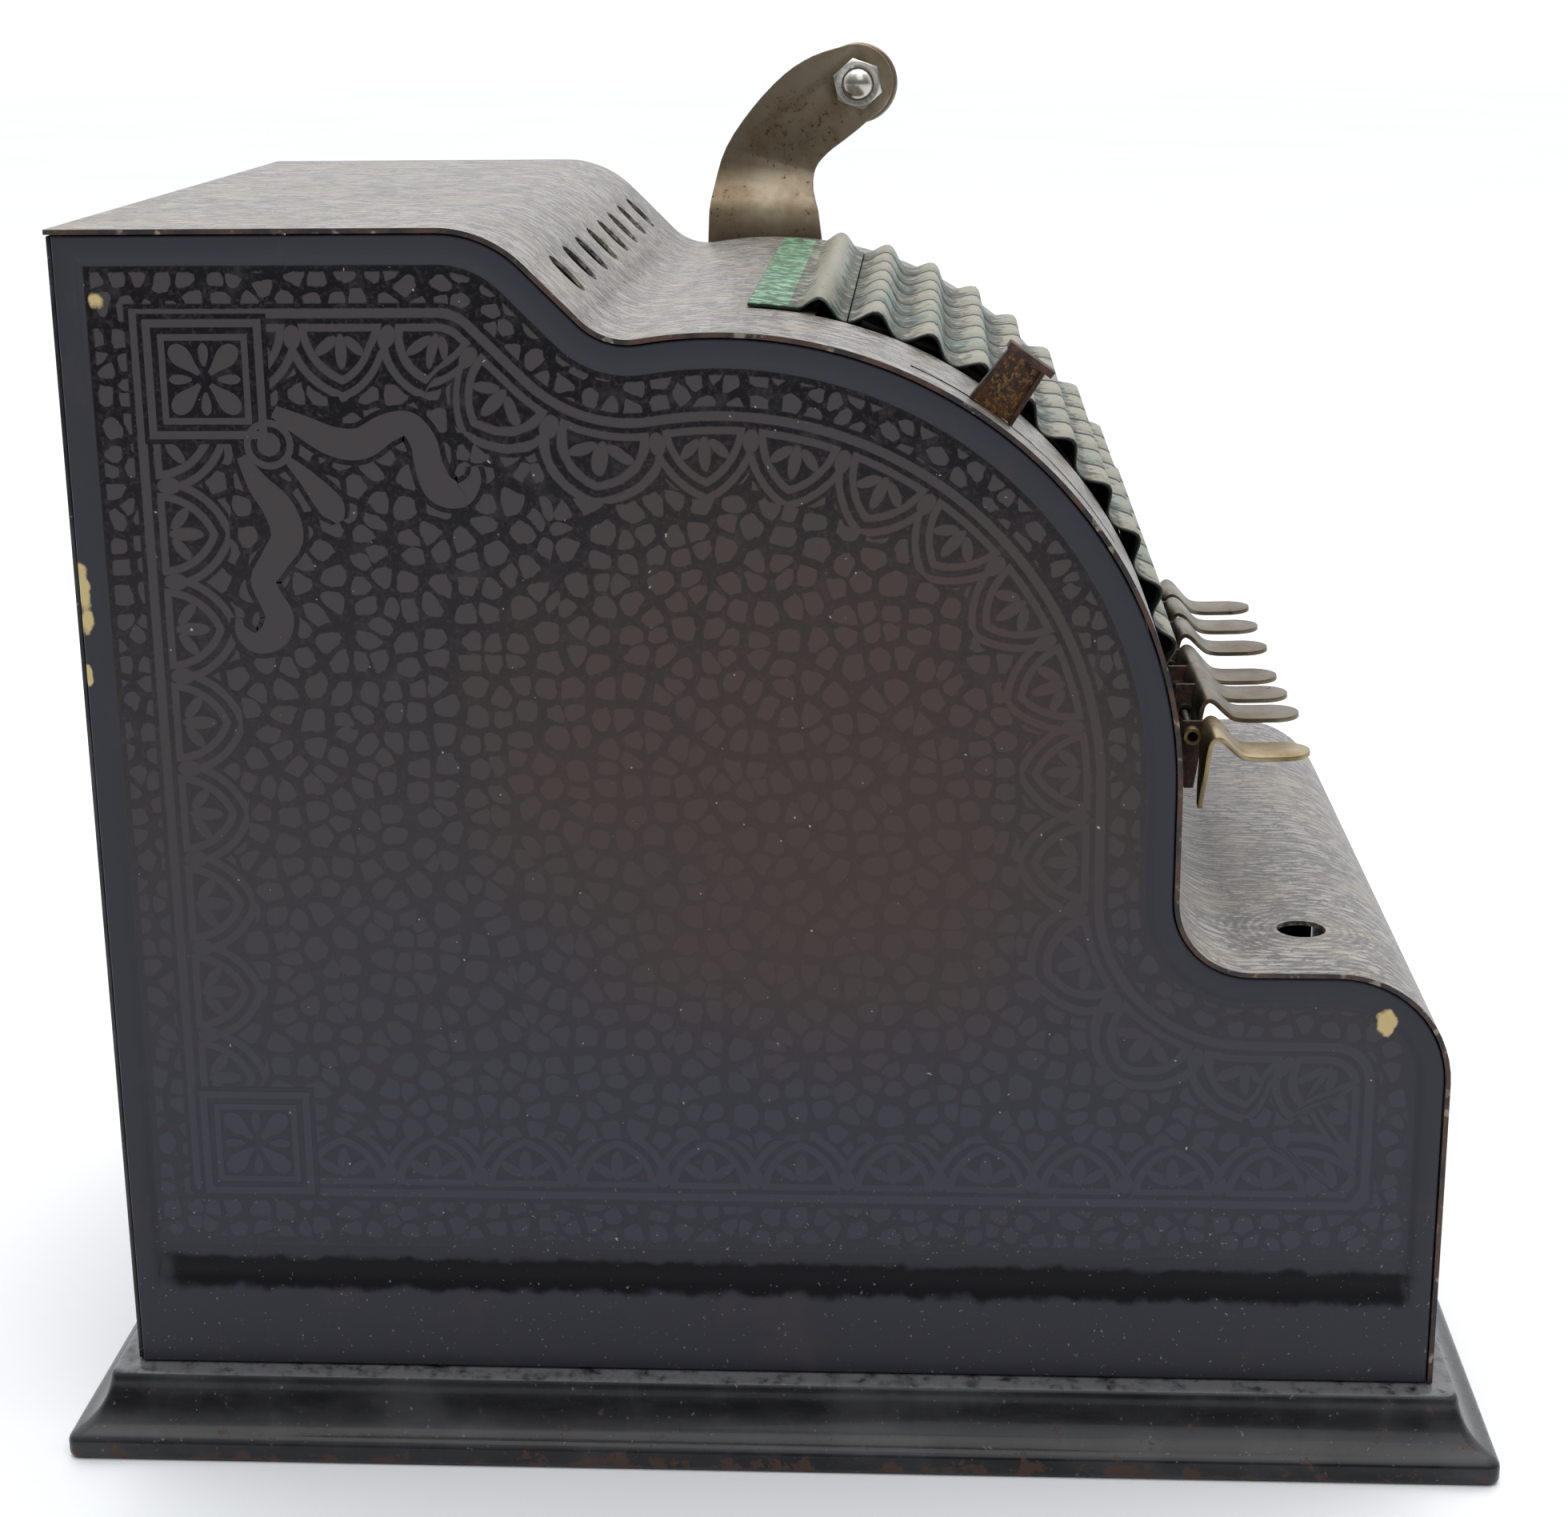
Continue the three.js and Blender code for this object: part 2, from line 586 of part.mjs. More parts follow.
// Both edges of the arm from beside the shaft up to the bolt, as curves in the Y-Z plane.
const ARM_BACK = new THREE.SplineCurve([
  at(SHAFT_Y + ARM_FOOT_RADIUS, SHAFT_Z), at(27.4, 195), at(26.9, 240), at(25.6, 252.5), at(22.4, 262.7),
  at(15.3, 272.8), at(7, 281.2), at(-0.5, 285.8), at(-7.6, 288),
]);
const ARM_FRONT = new THREE.SplineCurve([
  at(SHAFT_Y - ARM_FOOT_RADIUS, SHAFT_Z), at(-5.2, 195), at(-3, 240), at(-0.7, 251.5), at(-1.2, 256.9),
  at(-4.4, 260.9), at(-8.8, 264.2), at(-12.6, 267.1), at(-16, 270),
]);

function armStation(t) {
  if (t < 0) {
    const a = rad(90 * (1 + t));
    const across = ARM_FOOT_RADIUS * Math.sin(a);
    const z = SHAFT_Z - ARM_FOOT_RADIUS * Math.cos(a);
    return [at(SHAFT_Y + across, z), at(SHAFT_Y - across, z)];
  }
  const back = ARM_BACK.getPoint(Math.min(t, 1));
  const front = ARM_FRONT.getPoint(Math.min(t, 1));
  if (t <= 1) return [back, front];
  const a = rad(90 * (t - 1));
  const across = back.clone().sub(front).normalize();
  const ahead = at(-across.y, across.x).multiplyScalar(ARM_END.radius * Math.sin(a));
  const centre = at(ARM_END.y, ARM_END.z).add(ahead);
  across.multiplyScalar(ARM_END.radius * Math.cos(a));
  return [centre.clone().add(across), centre.clone().sub(across)];
}

function joggle(z) {
  const share = THREE.MathUtils.smoothstep(z, JOGGLE_START, JOGGLE_END);
  return ARM_X + ARM_JOGGLE * share;
}

// A flat bar, in short lengths, laid along the stations; its corners follow both edges.
function crankArm() {
  const foot = 5;
  const middle = 24;
  const end = 6;
  const lengths = foot + middle + end;
  const bar = new THREE.BoxGeometry(1, 1, 1, 1, 1, lengths);
  const { position } = bar.attributes;
  for (let i = 0; i < position.count; i++) {
    const step = Math.round((position.getZ(i) + 0.5) * lengths);
    let t = (step - foot) / middle;
    if (step < foot) t = -0.97 * (1 - step / foot);
    if (step > foot + middle) t = 1 + (0.97 * (step - foot - middle)) / end;
    const [back, front] = armStation(t);
    const edge = position.getY(i) > 0 ? back : front;
    const x = joggle(edge.y) + (position.getX(i) + 0.5) * ARM_SHEET;
    position.setXYZ(i, x, edge.x, edge.y);
  }
  const shaftHole = rod(7.3, ARM_X - 5, ARM_X + 8, SHAFT_Y, SHAFT_Z);
  const boltHole = rod(BOLT.radius + GAP, ARM_X, ARM_X + 20, BOLT.y, BOLT.z);
  return cut(bar, shaftHole, boltHole);
}

function crankHub() {
  const bore = SHAFT_RADIUS + GAP;
  const inner = CASE_WIDTH / 2 + GAP;
  const arm = ARM_X + ARM_SHEET;
  const profile = [
    [inner, bore], [inner, 7], [arm + GAP, 7], [arm + GAP, 12.5], [arm + 2, 12.5], [arm + 3, 9.5],
    [arm + 5, 9.5], [arm + 5, bore], [inner, bore],
  ];
  return outward(turned(profile, SHAFT_Y, SHAFT_Z, 24));
}

function hexagon(y, z, flats, turn) {
  return range(6).map((side) => {
    const a = rad(60 * side + turn);
    const radius = flats / Math.sqrt(3);
    return at(y + radius * Math.cos(a), z + radius * Math.sin(a));
  });
}

const HUB_END = ARM_X + ARM_SHEET + 5;

function shaftNut() {
  const hole = circle(SHAFT_Y, SHAFT_Z, SHAFT_RADIUS + GAP, 12);
  return prism(hexagon(SHAFT_Y, SHAFT_Z, 16, 0), HUB_END + GAP, HUB_END + 4.5, [hole]);
}

function mainShaft() {
  const end = HUB_END + 6;
  const profile = [[-92, 0], [-92, SHAFT_RADIUS], [end - 1, SHAFT_RADIUS], [end, 4], [end, 0]];
  return outward(turned(profile, SHAFT_Y, SHAFT_Z, 16));
}

const ARM_OUT_X = ARM_X + ARM_JOGGLE;
const NUT_THICK = 4.3;
const FERRULE_X = ARM_OUT_X + ARM_SHEET + GAP;
const GRIP_X = FERRULE_X + 3 + GAP;

function crankNut() {
  const hole = circle(BOLT.y, BOLT.z, BOLT.radius + GAP, 12);
  const x = ARM_OUT_X - GAP;
  return prism(hexagon(BOLT.y, BOLT.z, 11.6, 19), x - NUT_THICK, x, [hole]);
}

// Domed end by the nut, a plain shank through arm and grip, and a round head outside.
function crankBolt() {
  const { y, z, radius } = BOLT;
  const tip = ARM_OUT_X - GAP - NUT_THICK - 2.9;
  const dome = [0, 20, 40, 60, 80].map((a) => [tip + 3.4 * (1 - Math.cos(rad(a))), radius * Math.sin(rad(a))]);
  const end = GRIP_X + GRIP_LENGTH;
  const head = [[end + GAP, radius], [end + GAP, 6], [end + 1.4, 5.6], [end + 2.6, 3.2], [end + 3, 0]];
  return outward(turned([...dome, ...head], y, z, 16));
}

function gripFerrule() {
  const bore = BOLT.radius + GAP;
  const end = FERRULE_X + 3;
  const profile = [
    [FERRULE_X, bore], [FERRULE_X, 10.3], [FERRULE_X + 1.2, 10.3], [end, 8.4], [end, bore], [FERRULE_X, bore],
  ];
  return outward(turned(profile, BOLT.y, BOLT.z, 20));
}

// Turned handle: a slim round bar, a little fuller in the middle, with a rounded end.
function crankGrip() {
  const bore = BOLT.radius + GAP;
  const swell = range(9).map((i) => {
    const t = i / 8;
    const radius = 7 + 0.9 * Math.sin(Math.PI * t ** 0.8);
    return [GRIP_X + t * (GRIP_LENGTH - 5), radius];
  });
  const end = GRIP_X + GRIP_LENGTH;
  const profile = [[GRIP_X, bore], ...swell, [end - 2, 6.6], [end, 5.6], [end, bore], [GRIP_X, bore]];
  return outward(turned(profile, BOLT.y, BOLT.z, 18));
}

// Torsion spring that brings the crank back, round the shaft between frame and side panel.
function crankSpring() {
  const turns = 4;
  const steps = 9 * turns;
  const start = FRAME_RIGHT_X + FRAME_SHEET / 2 + 1.4;
  const points = range(steps + 1).map((i) => {
    const a = (2 * Math.PI * turns * i) / steps;
    const x = start + (6 * i) / steps;
    return new THREE.Vector3(x, SHAFT_Y + 8.2 * Math.cos(a), SHAFT_Z + 8.2 * Math.sin(a));
  });
  points.unshift(new THREE.Vector3(start, SHAFT_Y + 9, SHAFT_Z - 22));
  points.push(new THREE.Vector3(start + 6, SHAFT_Y + 10, SHAFT_Z - 14));
  const section = new THREE.Shape(circle(0, 0, 0.7, 5));
  const extrudePath = new THREE.CatmullRomCurve3(points);
  return new THREE.ExtrudeGeometry(section, { steps: steps + 4, extrudePath, bevelEnabled: false });
}

// ---- side lever ------------------------------------------------------------------------
const FINGER_TOP = 105.5;

function sideLever() {
  const half = LEVER_SHEET / 2;
  const left = LEVER_X - half;
  const right = LEVER_X + half;
  const foot = BOSS_RADIUS + GAP;
  const edge = (radius, share) => polar(radius, LEVER_THETA + share);
  const arm = [
    ...polarArc(8.6, LEVER_THETA + 40, LEVER_THETA + 320, 10),
    edge(foot - 8, -1.6), edge(foot + 1, -1.6), edge(foot + 1, 1.6), edge(foot - 8, 1.6),
  ];
  const plate = [edge(foot, -3.1), edge(FINGER_TOP, -2.35), edge(FINGER_TOP, 2.35), edge(foot, 3.1)];
  const rim = (share) => [
    edge(foot, 3.1 * share), edge(FINGER_TOP, 2.35 * share), edge(FINGER_TOP, 1.85 * share), edge(foot, 2.55 * share),
  ];
  const top = [
    edge(FINGER_TOP - 0.3, -2.6), edge(FINGER_TOP + 1.1, -2.6), edge(FINGER_TOP + 1.1, 3.1), edge(FINGER_TOP - 0.3, 3.1),
  ];
  const body = joined(
    prism(arm, left, right),
    prism(plate, left, right),
    prism(rim(1), left - 2.2, right),
    prism(rim(-1), left - 2.2, right),
    prism(top, left - 2.8, right + 1),
  );
  return cut(body, rod(SHAFT_RADIUS + GAP, left - 1, right + 1, SHAFT_Y, SHAFT_Z));
}

// ---- the assembly ----------------------------------------------------------------------
const machine = new THREE.Group();

function add(name, geometry, finishName) {
  const mesh = new THREE.Mesh(geometry, finish(finishName));
  mesh.name = name;
  machine.add(mesh);
}

function addCasing() {
  const side = CASE_WIDTH / 2;
  add('base_plinth', basePlinth(), 'plinthEnamel');
  add('bottom_plate', bottomPlate(), 'steel');
  add('left_side_panel', sidePanel(-side, SHEET - side, []), 'sideEnamel');
  const shaftHole = circle(SHAFT_Y, SHAFT_Z, 7.5);
  add('right_side_panel', sidePanel(side - SHEET, side, [shaftHole]), 'sideEnamel');
  add('top_cover', topCover(), 'coverEnamel');
  add('back_panel', backPanel(), 'sideEnamel');
  backScrewPlaces().forEach(([x, z], i) => add(`back_screw_${i + 1}`, backScrew(x, z), 'steel'));
}

function addFrame() {
  add('left_frame', frameSide(FRAME_LEFT_X), 'steel');
  add('right_frame', frameSide(FRAME_RIGHT_X), 'steel');
  add('front_tie_rod', tieRod(TIE_FRONT), 'steel');
  add('rear_tie_rod', tieRod(TIE_REAR), 'steel');
  add('detent_comb', detentComb(), 'steel');
  const left = FRAME_LEFT_X - 3;
  const right = FRAME_RIGHT_X + 3;
  add('dial_shaft', rod(DIAL_SHAFT_RADIUS, left, right, WHEEL_Y, WHEEL_Z, 12), 'steel');
  range(WHEELS).forEach((i) => add(`number_wheel_${i + 1}`, numberWheel(windowX(i)), 'wheelWhite'));
}

function addKeyboard() {
  const { y, z, radius } = KEY_ROD;
  add('keyboard_top_plate', keyboardTopPlate(), 'greenEnamel');
  const rodStart = columnX(0) + KEY_WIDTH / 2 - KEY_SHEET;
  add('key_rod', rod(radius, rodStart, BRACKET_RIGHT_X + 2, y, z, 10), 'steel');
  add('middle_key_bracket', middleKeyBracket(), 'steel');
  add('right_key_bracket', rightKeyBracket(), 'steel');
  for (let column = 0; column < COLUMNS; column++) {
    const x = columnX(column);
    add(`slide_strip_${column + 1}`, slideStrip(x), 'greenEnamel');
    add(`slide_sector_${column + 1}`, slideSector(x), 'steel');
    add(`finger_key_${column + 1}`, fingerKey(x, KEY_DROPS[column]), 'keyNickel');
  }
}

function addCrank() {
  add('main_shaft', mainShaft(), 'steel');
  add('crank_hub', crankHub(), 'nickel');
  add('crank_arm', crankArm(), 'nickel');
  add('crank_shaft_nut', shaftNut(), 'nickel');
  add('crank_nut', crankNut(), 'nickel');
  add('crank_bolt', crankBolt(), 'nickel');
  add('grip_ferrule', gripFerrule(), 'nickel');
  add('crank_grip', crankGrip(), 'darkWood');
  add('crank_spring', crankSpring(), 'steel');
}

addCasing();
addFrame();
addKeyboard();
addCrank();
add('side_lever', sideLever(), 'rustedSteel');

export default machine;
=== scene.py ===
"""Looks of a crank adding machine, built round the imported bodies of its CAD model.

Sizes are millimetres in the machine's own frame: the front faces -Y, the crank is on the +X
side and the floor is at zero. Angles named theta are measured at the main shaft, from
straight up towards the front.
"""

from __future__ import annotations

import sys

import logging
import math
from collections.abc import Callable, Iterator, Sequence
from contextlib import contextmanager
from dataclasses import dataclass
from enum import Enum
from typing import Any

import bmesh
import bpy
from mathutils import Matrix, Vector

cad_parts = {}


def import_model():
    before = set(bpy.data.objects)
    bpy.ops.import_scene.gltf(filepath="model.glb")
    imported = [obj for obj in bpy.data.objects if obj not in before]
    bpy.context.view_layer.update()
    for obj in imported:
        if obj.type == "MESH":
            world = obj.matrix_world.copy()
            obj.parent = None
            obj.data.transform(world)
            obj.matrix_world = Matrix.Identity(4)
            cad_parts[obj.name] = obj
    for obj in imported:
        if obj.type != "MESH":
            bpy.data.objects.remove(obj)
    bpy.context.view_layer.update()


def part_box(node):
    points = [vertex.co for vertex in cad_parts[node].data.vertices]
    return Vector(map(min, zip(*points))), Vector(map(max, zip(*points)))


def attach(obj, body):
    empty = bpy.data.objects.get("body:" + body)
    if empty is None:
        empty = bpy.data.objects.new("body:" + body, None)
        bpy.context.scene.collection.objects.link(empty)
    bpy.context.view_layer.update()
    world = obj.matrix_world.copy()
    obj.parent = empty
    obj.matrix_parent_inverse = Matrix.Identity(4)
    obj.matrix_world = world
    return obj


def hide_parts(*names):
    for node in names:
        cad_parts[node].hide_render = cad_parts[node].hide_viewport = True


LOG = logging.getLogger("adding_machine")
MM = 0.001
SQUARE_CORNERS = ((1, 1), (-1, 1), (-1, -1), (1, -1))
COLUMNS = 7
COLUMN_PITCH = 20.45
FIRST_COLUMN_X = -48.2
FIRST_WINDOW_X = -68.65
FITTING_GAP = 0.3
Point = tuple[float, float]
Colour = tuple[float, float, float]


class Side(Enum):
    """The two sides of the case, by the sign of X."""

    LEFT = -1
    RIGHT = 1


# ---- modelling bench ---------------------------------------------------------------------


def select_only(*pieces: bpy.types.Object) -> None:
    """Selects these pieces alone; the first becomes the active one."""
    bpy.ops.object.select_all(action="DESELECT")
    for piece in pieces:
        piece.select_set(True)
    bpy.context.view_layer.objects.active = pieces[0]


@contextmanager
def editing(piece: bpy.types.Object) -> Iterator[None]:
    """Opens edit mode on one piece, with nothing in its mesh selected."""
    select_only(piece)
    bpy.ops.object.mode_set(mode="EDIT")
    bpy.ops.mesh.select_all(action="DESELECT")
    yield
    bpy.ops.object.mode_set(mode="OBJECT")


def delete_faces(piece: bpy.types.Object, wanted: Callable[[bmesh.types.BMFace], bool]) -> None:
    """Deletes the faces that a test picks out, and keeps their edges."""
    with editing(piece):
        mesh = bmesh.from_edit_mesh(piece.data)
        for face in mesh.faces:
            face.select_set(wanted(face))
        bmesh.update_edit_mesh(piece.data)
        bpy.ops.mesh.delete(type="ONLY_FACE")


def settle(piece: bpy.types.Object) -> bpy.types.Object:
    """Moves a piece's place, turn and size into its mesh."""
    select_only(piece)
    bpy.ops.object.transform_apply(location=True, rotation=True, scale=True)
    return piece


def drawn(name: str, points: Sequence[Sequence[float]], closed: bool = False) -> bpy.types.Object:
    """A line drawn through points, as edges.

    Args:
        name: The new piece's name.
        points: Places in millimetres, three numbers each.
        closed: Whether the last point joins the first.

    Returns:
        A mesh of edges alone.
    """
    curve = bpy.data.curves.new(name, "CURVE")
    curve.dimensions = "3D"
    spline = curve.splines.new("POLY")
    spline.points.add(len(points) - 1)
    for spot, place in zip(spline.points, points):
        spot.co = (*(value * MM for value in place), 1)
    spline.use_cyclic_u = closed
    line = bpy.data.objects.new(name, curve)
    bpy.context.scene.collection.objects.link(line)
    select_only(line)
    bpy.ops.object.convert(target="MESH")
    return bpy.context.view_layer.objects.active


def tidy_normals(piece: bpy.types.Object) -> bpy.types.Object:
    """Merges doubled points and turns all faces outwards."""
    with editing(piece):
        bpy.ops.mesh.select_all(action="SELECT")
        bpy.ops.mesh.remove_doubles(threshold=1e-6)
        bpy.ops.mesh.normals_make_consistent(inside=False)
    return piece


def extruded(name: str, outline: Sequence[Sequence[float]], along: Sequence[float]) -> bpy.types.Object:
    """A flat closed outline filled and drawn out into a solid.

    Args:
        name: The new piece's name.
        outline: Places round the outline in millimetres.
        along: How far and which way it is drawn out, in millimetres.

    Returns:
        The closed solid.
    """
    piece = drawn(name, outline, closed=True)
    with editing(piece):
        bpy.ops.mesh.select_all(action="SELECT")
        bpy.ops.mesh.edge_face_add()
        shift = {"value": [value * MM for value in along]}
        bpy.ops.mesh.extrude_region_move(TRANSFORM_OT_translate=shift)
    return tidy_normals(piece)


def spun(name: str, profile: Sequence[Point], y: float, z: float, steps: int = 48) -> bpy.types.Object:
    """A profile turned about a line parallel to X.

    Args:
        name: The new piece's name.
        profile: Places as (x, radius) in millimetres, from axis to axis or closed on itself.
        y: The axis's place.
        z: The axis's height.
        steps: Faces round the turn.

    Returns:
        The closed turned solid.
    """
    closed = profile[0] == profile[-1]
    places = [(x, y, z + radius) for x, radius in (profile[:-1] if closed else profile)]
    piece = drawn(name, places, closed=closed)
    with editing(piece):
        bpy.ops.mesh.select_all(action="SELECT")
        bpy.ops.mesh.spin(steps=steps, angle=2 * math.pi, center=(0, y * MM, z * MM), axis=(1, 0, 0))
    return tidy_normals(piece)


def lofted(name: str, loops: Sequence[Sequence[Vector]]) -> bpy.types.Object:
    """A closed skin through a stack of loops with equal counts, capped at both ends.

    Args:
        name: The new piece's name.
        loops: Rings of places in millimetres, in order.

    Returns:
        The closed skin, before its doubles are merged.
    """
    count = len(loops[0])
    points = [place * MM for loop in loops for place in loop]
    faces = [list(range(count))[::-1], [(len(loops) - 1) * count + i for i in range(count)]]
    for ring in range(len(loops) - 1):
        for i in range(count):
            a, b = ring * count + i, ring * count + (i + 1) % count
            faces.append([a, b, b + count, a + count])
    mesh = bpy.data.meshes.new(name)
    mesh.from_pydata(points, [], faces)
    piece = bpy.data.objects.new(name, mesh)
    bpy.context.scene.collection.objects.link(piece)
    return piece


def apply_modifier(piece: bpy.types.Object, kind: str, **settings: Any) -> bpy.types.Object:
    """Adds one modifier with these settings and applies it."""
    select_only(piece)
    modifier = piece.modifiers.new(kind.title(), kind)
    for name, value in settings.items():
        setattr(modifier, name, value)
    bpy.ops.object.modifier_apply(modifier=modifier.name)
    return piece


def rounded(
    piece: bpy.types.Object, width: float, segments: int = 2, angle: float = 35
) -> bpy.types.Object:
    """Rounds a piece's sharp edges by a width in millimetres."""
    return apply_modifier(
        piece,
        "BEVEL",
        width=width * MM,
        segments=segments,
        limit_method="ANGLE",
        angle_limit=math.radians(angle),
        use_clamp_overlap=True,
    )


def smoothed(piece: bpy.types.Object, angle: float = 35) -> bpy.types.Object:
    """Shades a piece smoothly, apart from edges sharper than the angle."""
    select_only(piece)
    bpy.ops.object.shade_smooth_by_angle(angle=math.radians(angle))
    return piece


def cut_by(piece: bpy.types.Object, *tools: bpy.types.Object) -> bpy.types.Object:
    """Cuts solid tools out of a piece and throws the tools away."""
    for tool in tools:
        apply_modifier(piece, "BOOLEAN", operation="DIFFERENCE", solver="EXACT", object=tool)
        bpy.data.objects.remove(tool)
    return piece


def merged(name: str, *pieces: bpy.types.Object) -> bpy.types.Object:
    """Joins pieces into one object of that name."""
    select_only(*pieces)
    bpy.ops.object.join()
    whole = bpy.context.view_layer.objects.active
    whole.name = name
    return whole


def copied(piece: bpy.types.Object, name: str) -> bpy.types.Object:
    """A copy of a piece with its own mesh."""
    twin = piece.copy()
    twin.data = piece.data.copy()
    twin.name = name
    bpy.context.scene.collection.objects.link(twin)
    return twin


def from_node(node: str, name: str, edge: float = 0.25, angle: float = 35) -> bpy.types.Object:
    """A copy of a CAD node with its triangles merged, its edges rounded and its shading smooth.

    Args:
        node: The CAD node's name.
        name: The new piece's name.
        edge: The rounding's width in millimetres; none at zero.
        angle: Edges sharper than this, in degrees, are rounded and shade sharply.

    Returns:
        The refined copy.
    """
    source = bpy.data.objects[node]
    piece = bpy.data.objects.new(name, source.data.copy())
    bpy.context.scene.collection.objects.link(piece)
    piece.data.materials.clear()
    with editing(piece):
        bpy.ops.mesh.select_all(action="SELECT")
        bpy.ops.mesh.remove_doubles(threshold=2e-6)
        bpy.ops.mesh.dissolve_limited(angle_limit=math.radians(0.4))
    if edge:
        rounded(piece, edge, angle=angle)
    return smoothed(piece, angle)


def dress(piece: bpy.types.Object, *materials: bpy.types.Material) -> bpy.types.Object:
    """Gives a piece its materials, in the order of its faces' slots."""
    indices = [face.material_index for face in piece.data.polygons]
    piece.data.materials.clear()
    for material in materials:
        piece.data.materials.append(material)
    piece.data.polygons.foreach_set("material_index", [min(i, len(materials) - 1) for i in indices])
    return piece


def place_on(piece: bpy.types.Object, body: str, slot: str, *nodes: str) -> bpy.types.Object:
    """Lets a finished piece ride on a body and stand for its CAD nodes."""
    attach(piece, body)
    if nodes:
        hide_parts(*nodes)
    faces = sum(len(face.vertices) - 2 for face in piece.data.polygons)
    LOG.info("%s: %d triangles on %s", piece.name, faces, body)
    return piece


# ---- shader maths ------------------------------------------------------------------------


def srgb(red: float, green: float, blue: float) -> Colour:
    """A linear colour from screen values of 0 to 255."""

    def linear(value: float) -> float:
        """One channel without the screen's curve."""
        share = value / 255
        return share / 12.92 if share <= 0.04045 else ((share + 0.055) / 1.055) ** 2.4

    return linear(red), linear(green), linear(blue)


class Signal:
    """A number that changes over a surface, with Python's operators adding its Math nodes."""

    def __init__(self, graph: Graph, socket: bpy.types.NodeSocket) -> None:
        """Wraps one output socket of a graph."""
        self.graph = graph
        self.socket = socket

    def math(self, operation: str, *others: Signal | float, clamp: bool = False) -> Signal:
        """One Math node on this value and up to two more."""
        inputs = dict(enumerate((self, *others)))
        settings = {"operation": operation, "use_clamp": clamp}
        return self.graph.add("ShaderNodeMath", settings, inputs).signal(0)

    def flipped(self, operation: str, other: float) -> Signal:
        """One Math node with this value second."""
        return self.graph.add("ShaderNodeMath", {"operation": operation}, {0: other, 1: self}).signal(0)

    def __add__(self, other: Signal | float) -> Signal:
        """Sum."""
        return self.math("ADD", other)

    __radd__ = __add__

    def __sub__(self, other: Signal | float) -> Signal:
        """Difference."""
        return self.math("SUBTRACT", other)

    def __rsub__(self, other: float) -> Signal:
        """Difference, reflected."""
        return self.flipped("SUBTRACT", other)

    def __mul__(self, other: Signal | float) -> Signal:
        """Product."""
        return self.math("MULTIPLY", other)

    __rmul__ = __mul__

    def __truediv__(self, other: Signal | float) -> Signal:
        """Quotient."""
        return self.math("DIVIDE", other)

    def __pow__(self, power: float) -> Signal:
        """Power."""
        return self.math("POWER", power)

    def __abs__(self) -> Signal:
        """Absolute value."""
        return self.math("ABSOLUTE")

    def fraction(self) -> Signal:
        """What is left above the whole number below."""
        return self.math("FRACT")

    def root(self) -> Signal:
        """Square root."""
        return self.math("SQRT")

    def at_least(self, other: Signal | float) -> Signal:
        """The larger of the two."""
        return self.math("MAXIMUM", other)

    def at_most(self, other: Signal | float) -> Signal:
        """The smaller of the two."""
        return self.math("MINIMUM", other)

    def over(self, edge: float, soft: float = 0.0) -> Signal:
        """One above an edge and nothing below it, with a soft change of that half width."""
        if soft == 0:
            return self.math("GREATER_THAN", edge)
        limits = {"From Min": edge - soft, "From Max": edge + soft, "Value": self}
        settings = {"interpolation_type": "SMOOTHSTEP"}
        return self.graph.add("ShaderNodeMapRange", settings, limits).signal("Result")

    def under(self, edge: float, soft: float = 0.0) -> Signal:
        """One below an edge and nothing above it."""
        return 1 - self.over(edge, soft)

    def between(self, low: float, high: float, soft: float = 0.0) -> Signal:
        """One between two edges."""
        return self.over(low, soft) * self.under(high, soft)


class NodeHandle:
    """A node that has been added, for its outputs."""

    def __init__(self, graph: Graph, node: bpy.types.Node) -> None:
        """Keeps the node and its graph."""
        self.graph = graph
        self.node = node

    def signal(self, output: int | str) -> Signal:
        """One output as a number."""
        return Signal(self.graph, self.node.outputs[output])

    def socket(self, output: int | str) -> bpy.types.NodeSocket:
        """One output as it is, for colours, vectors and shaders."""
        return self.node.outputs[output]


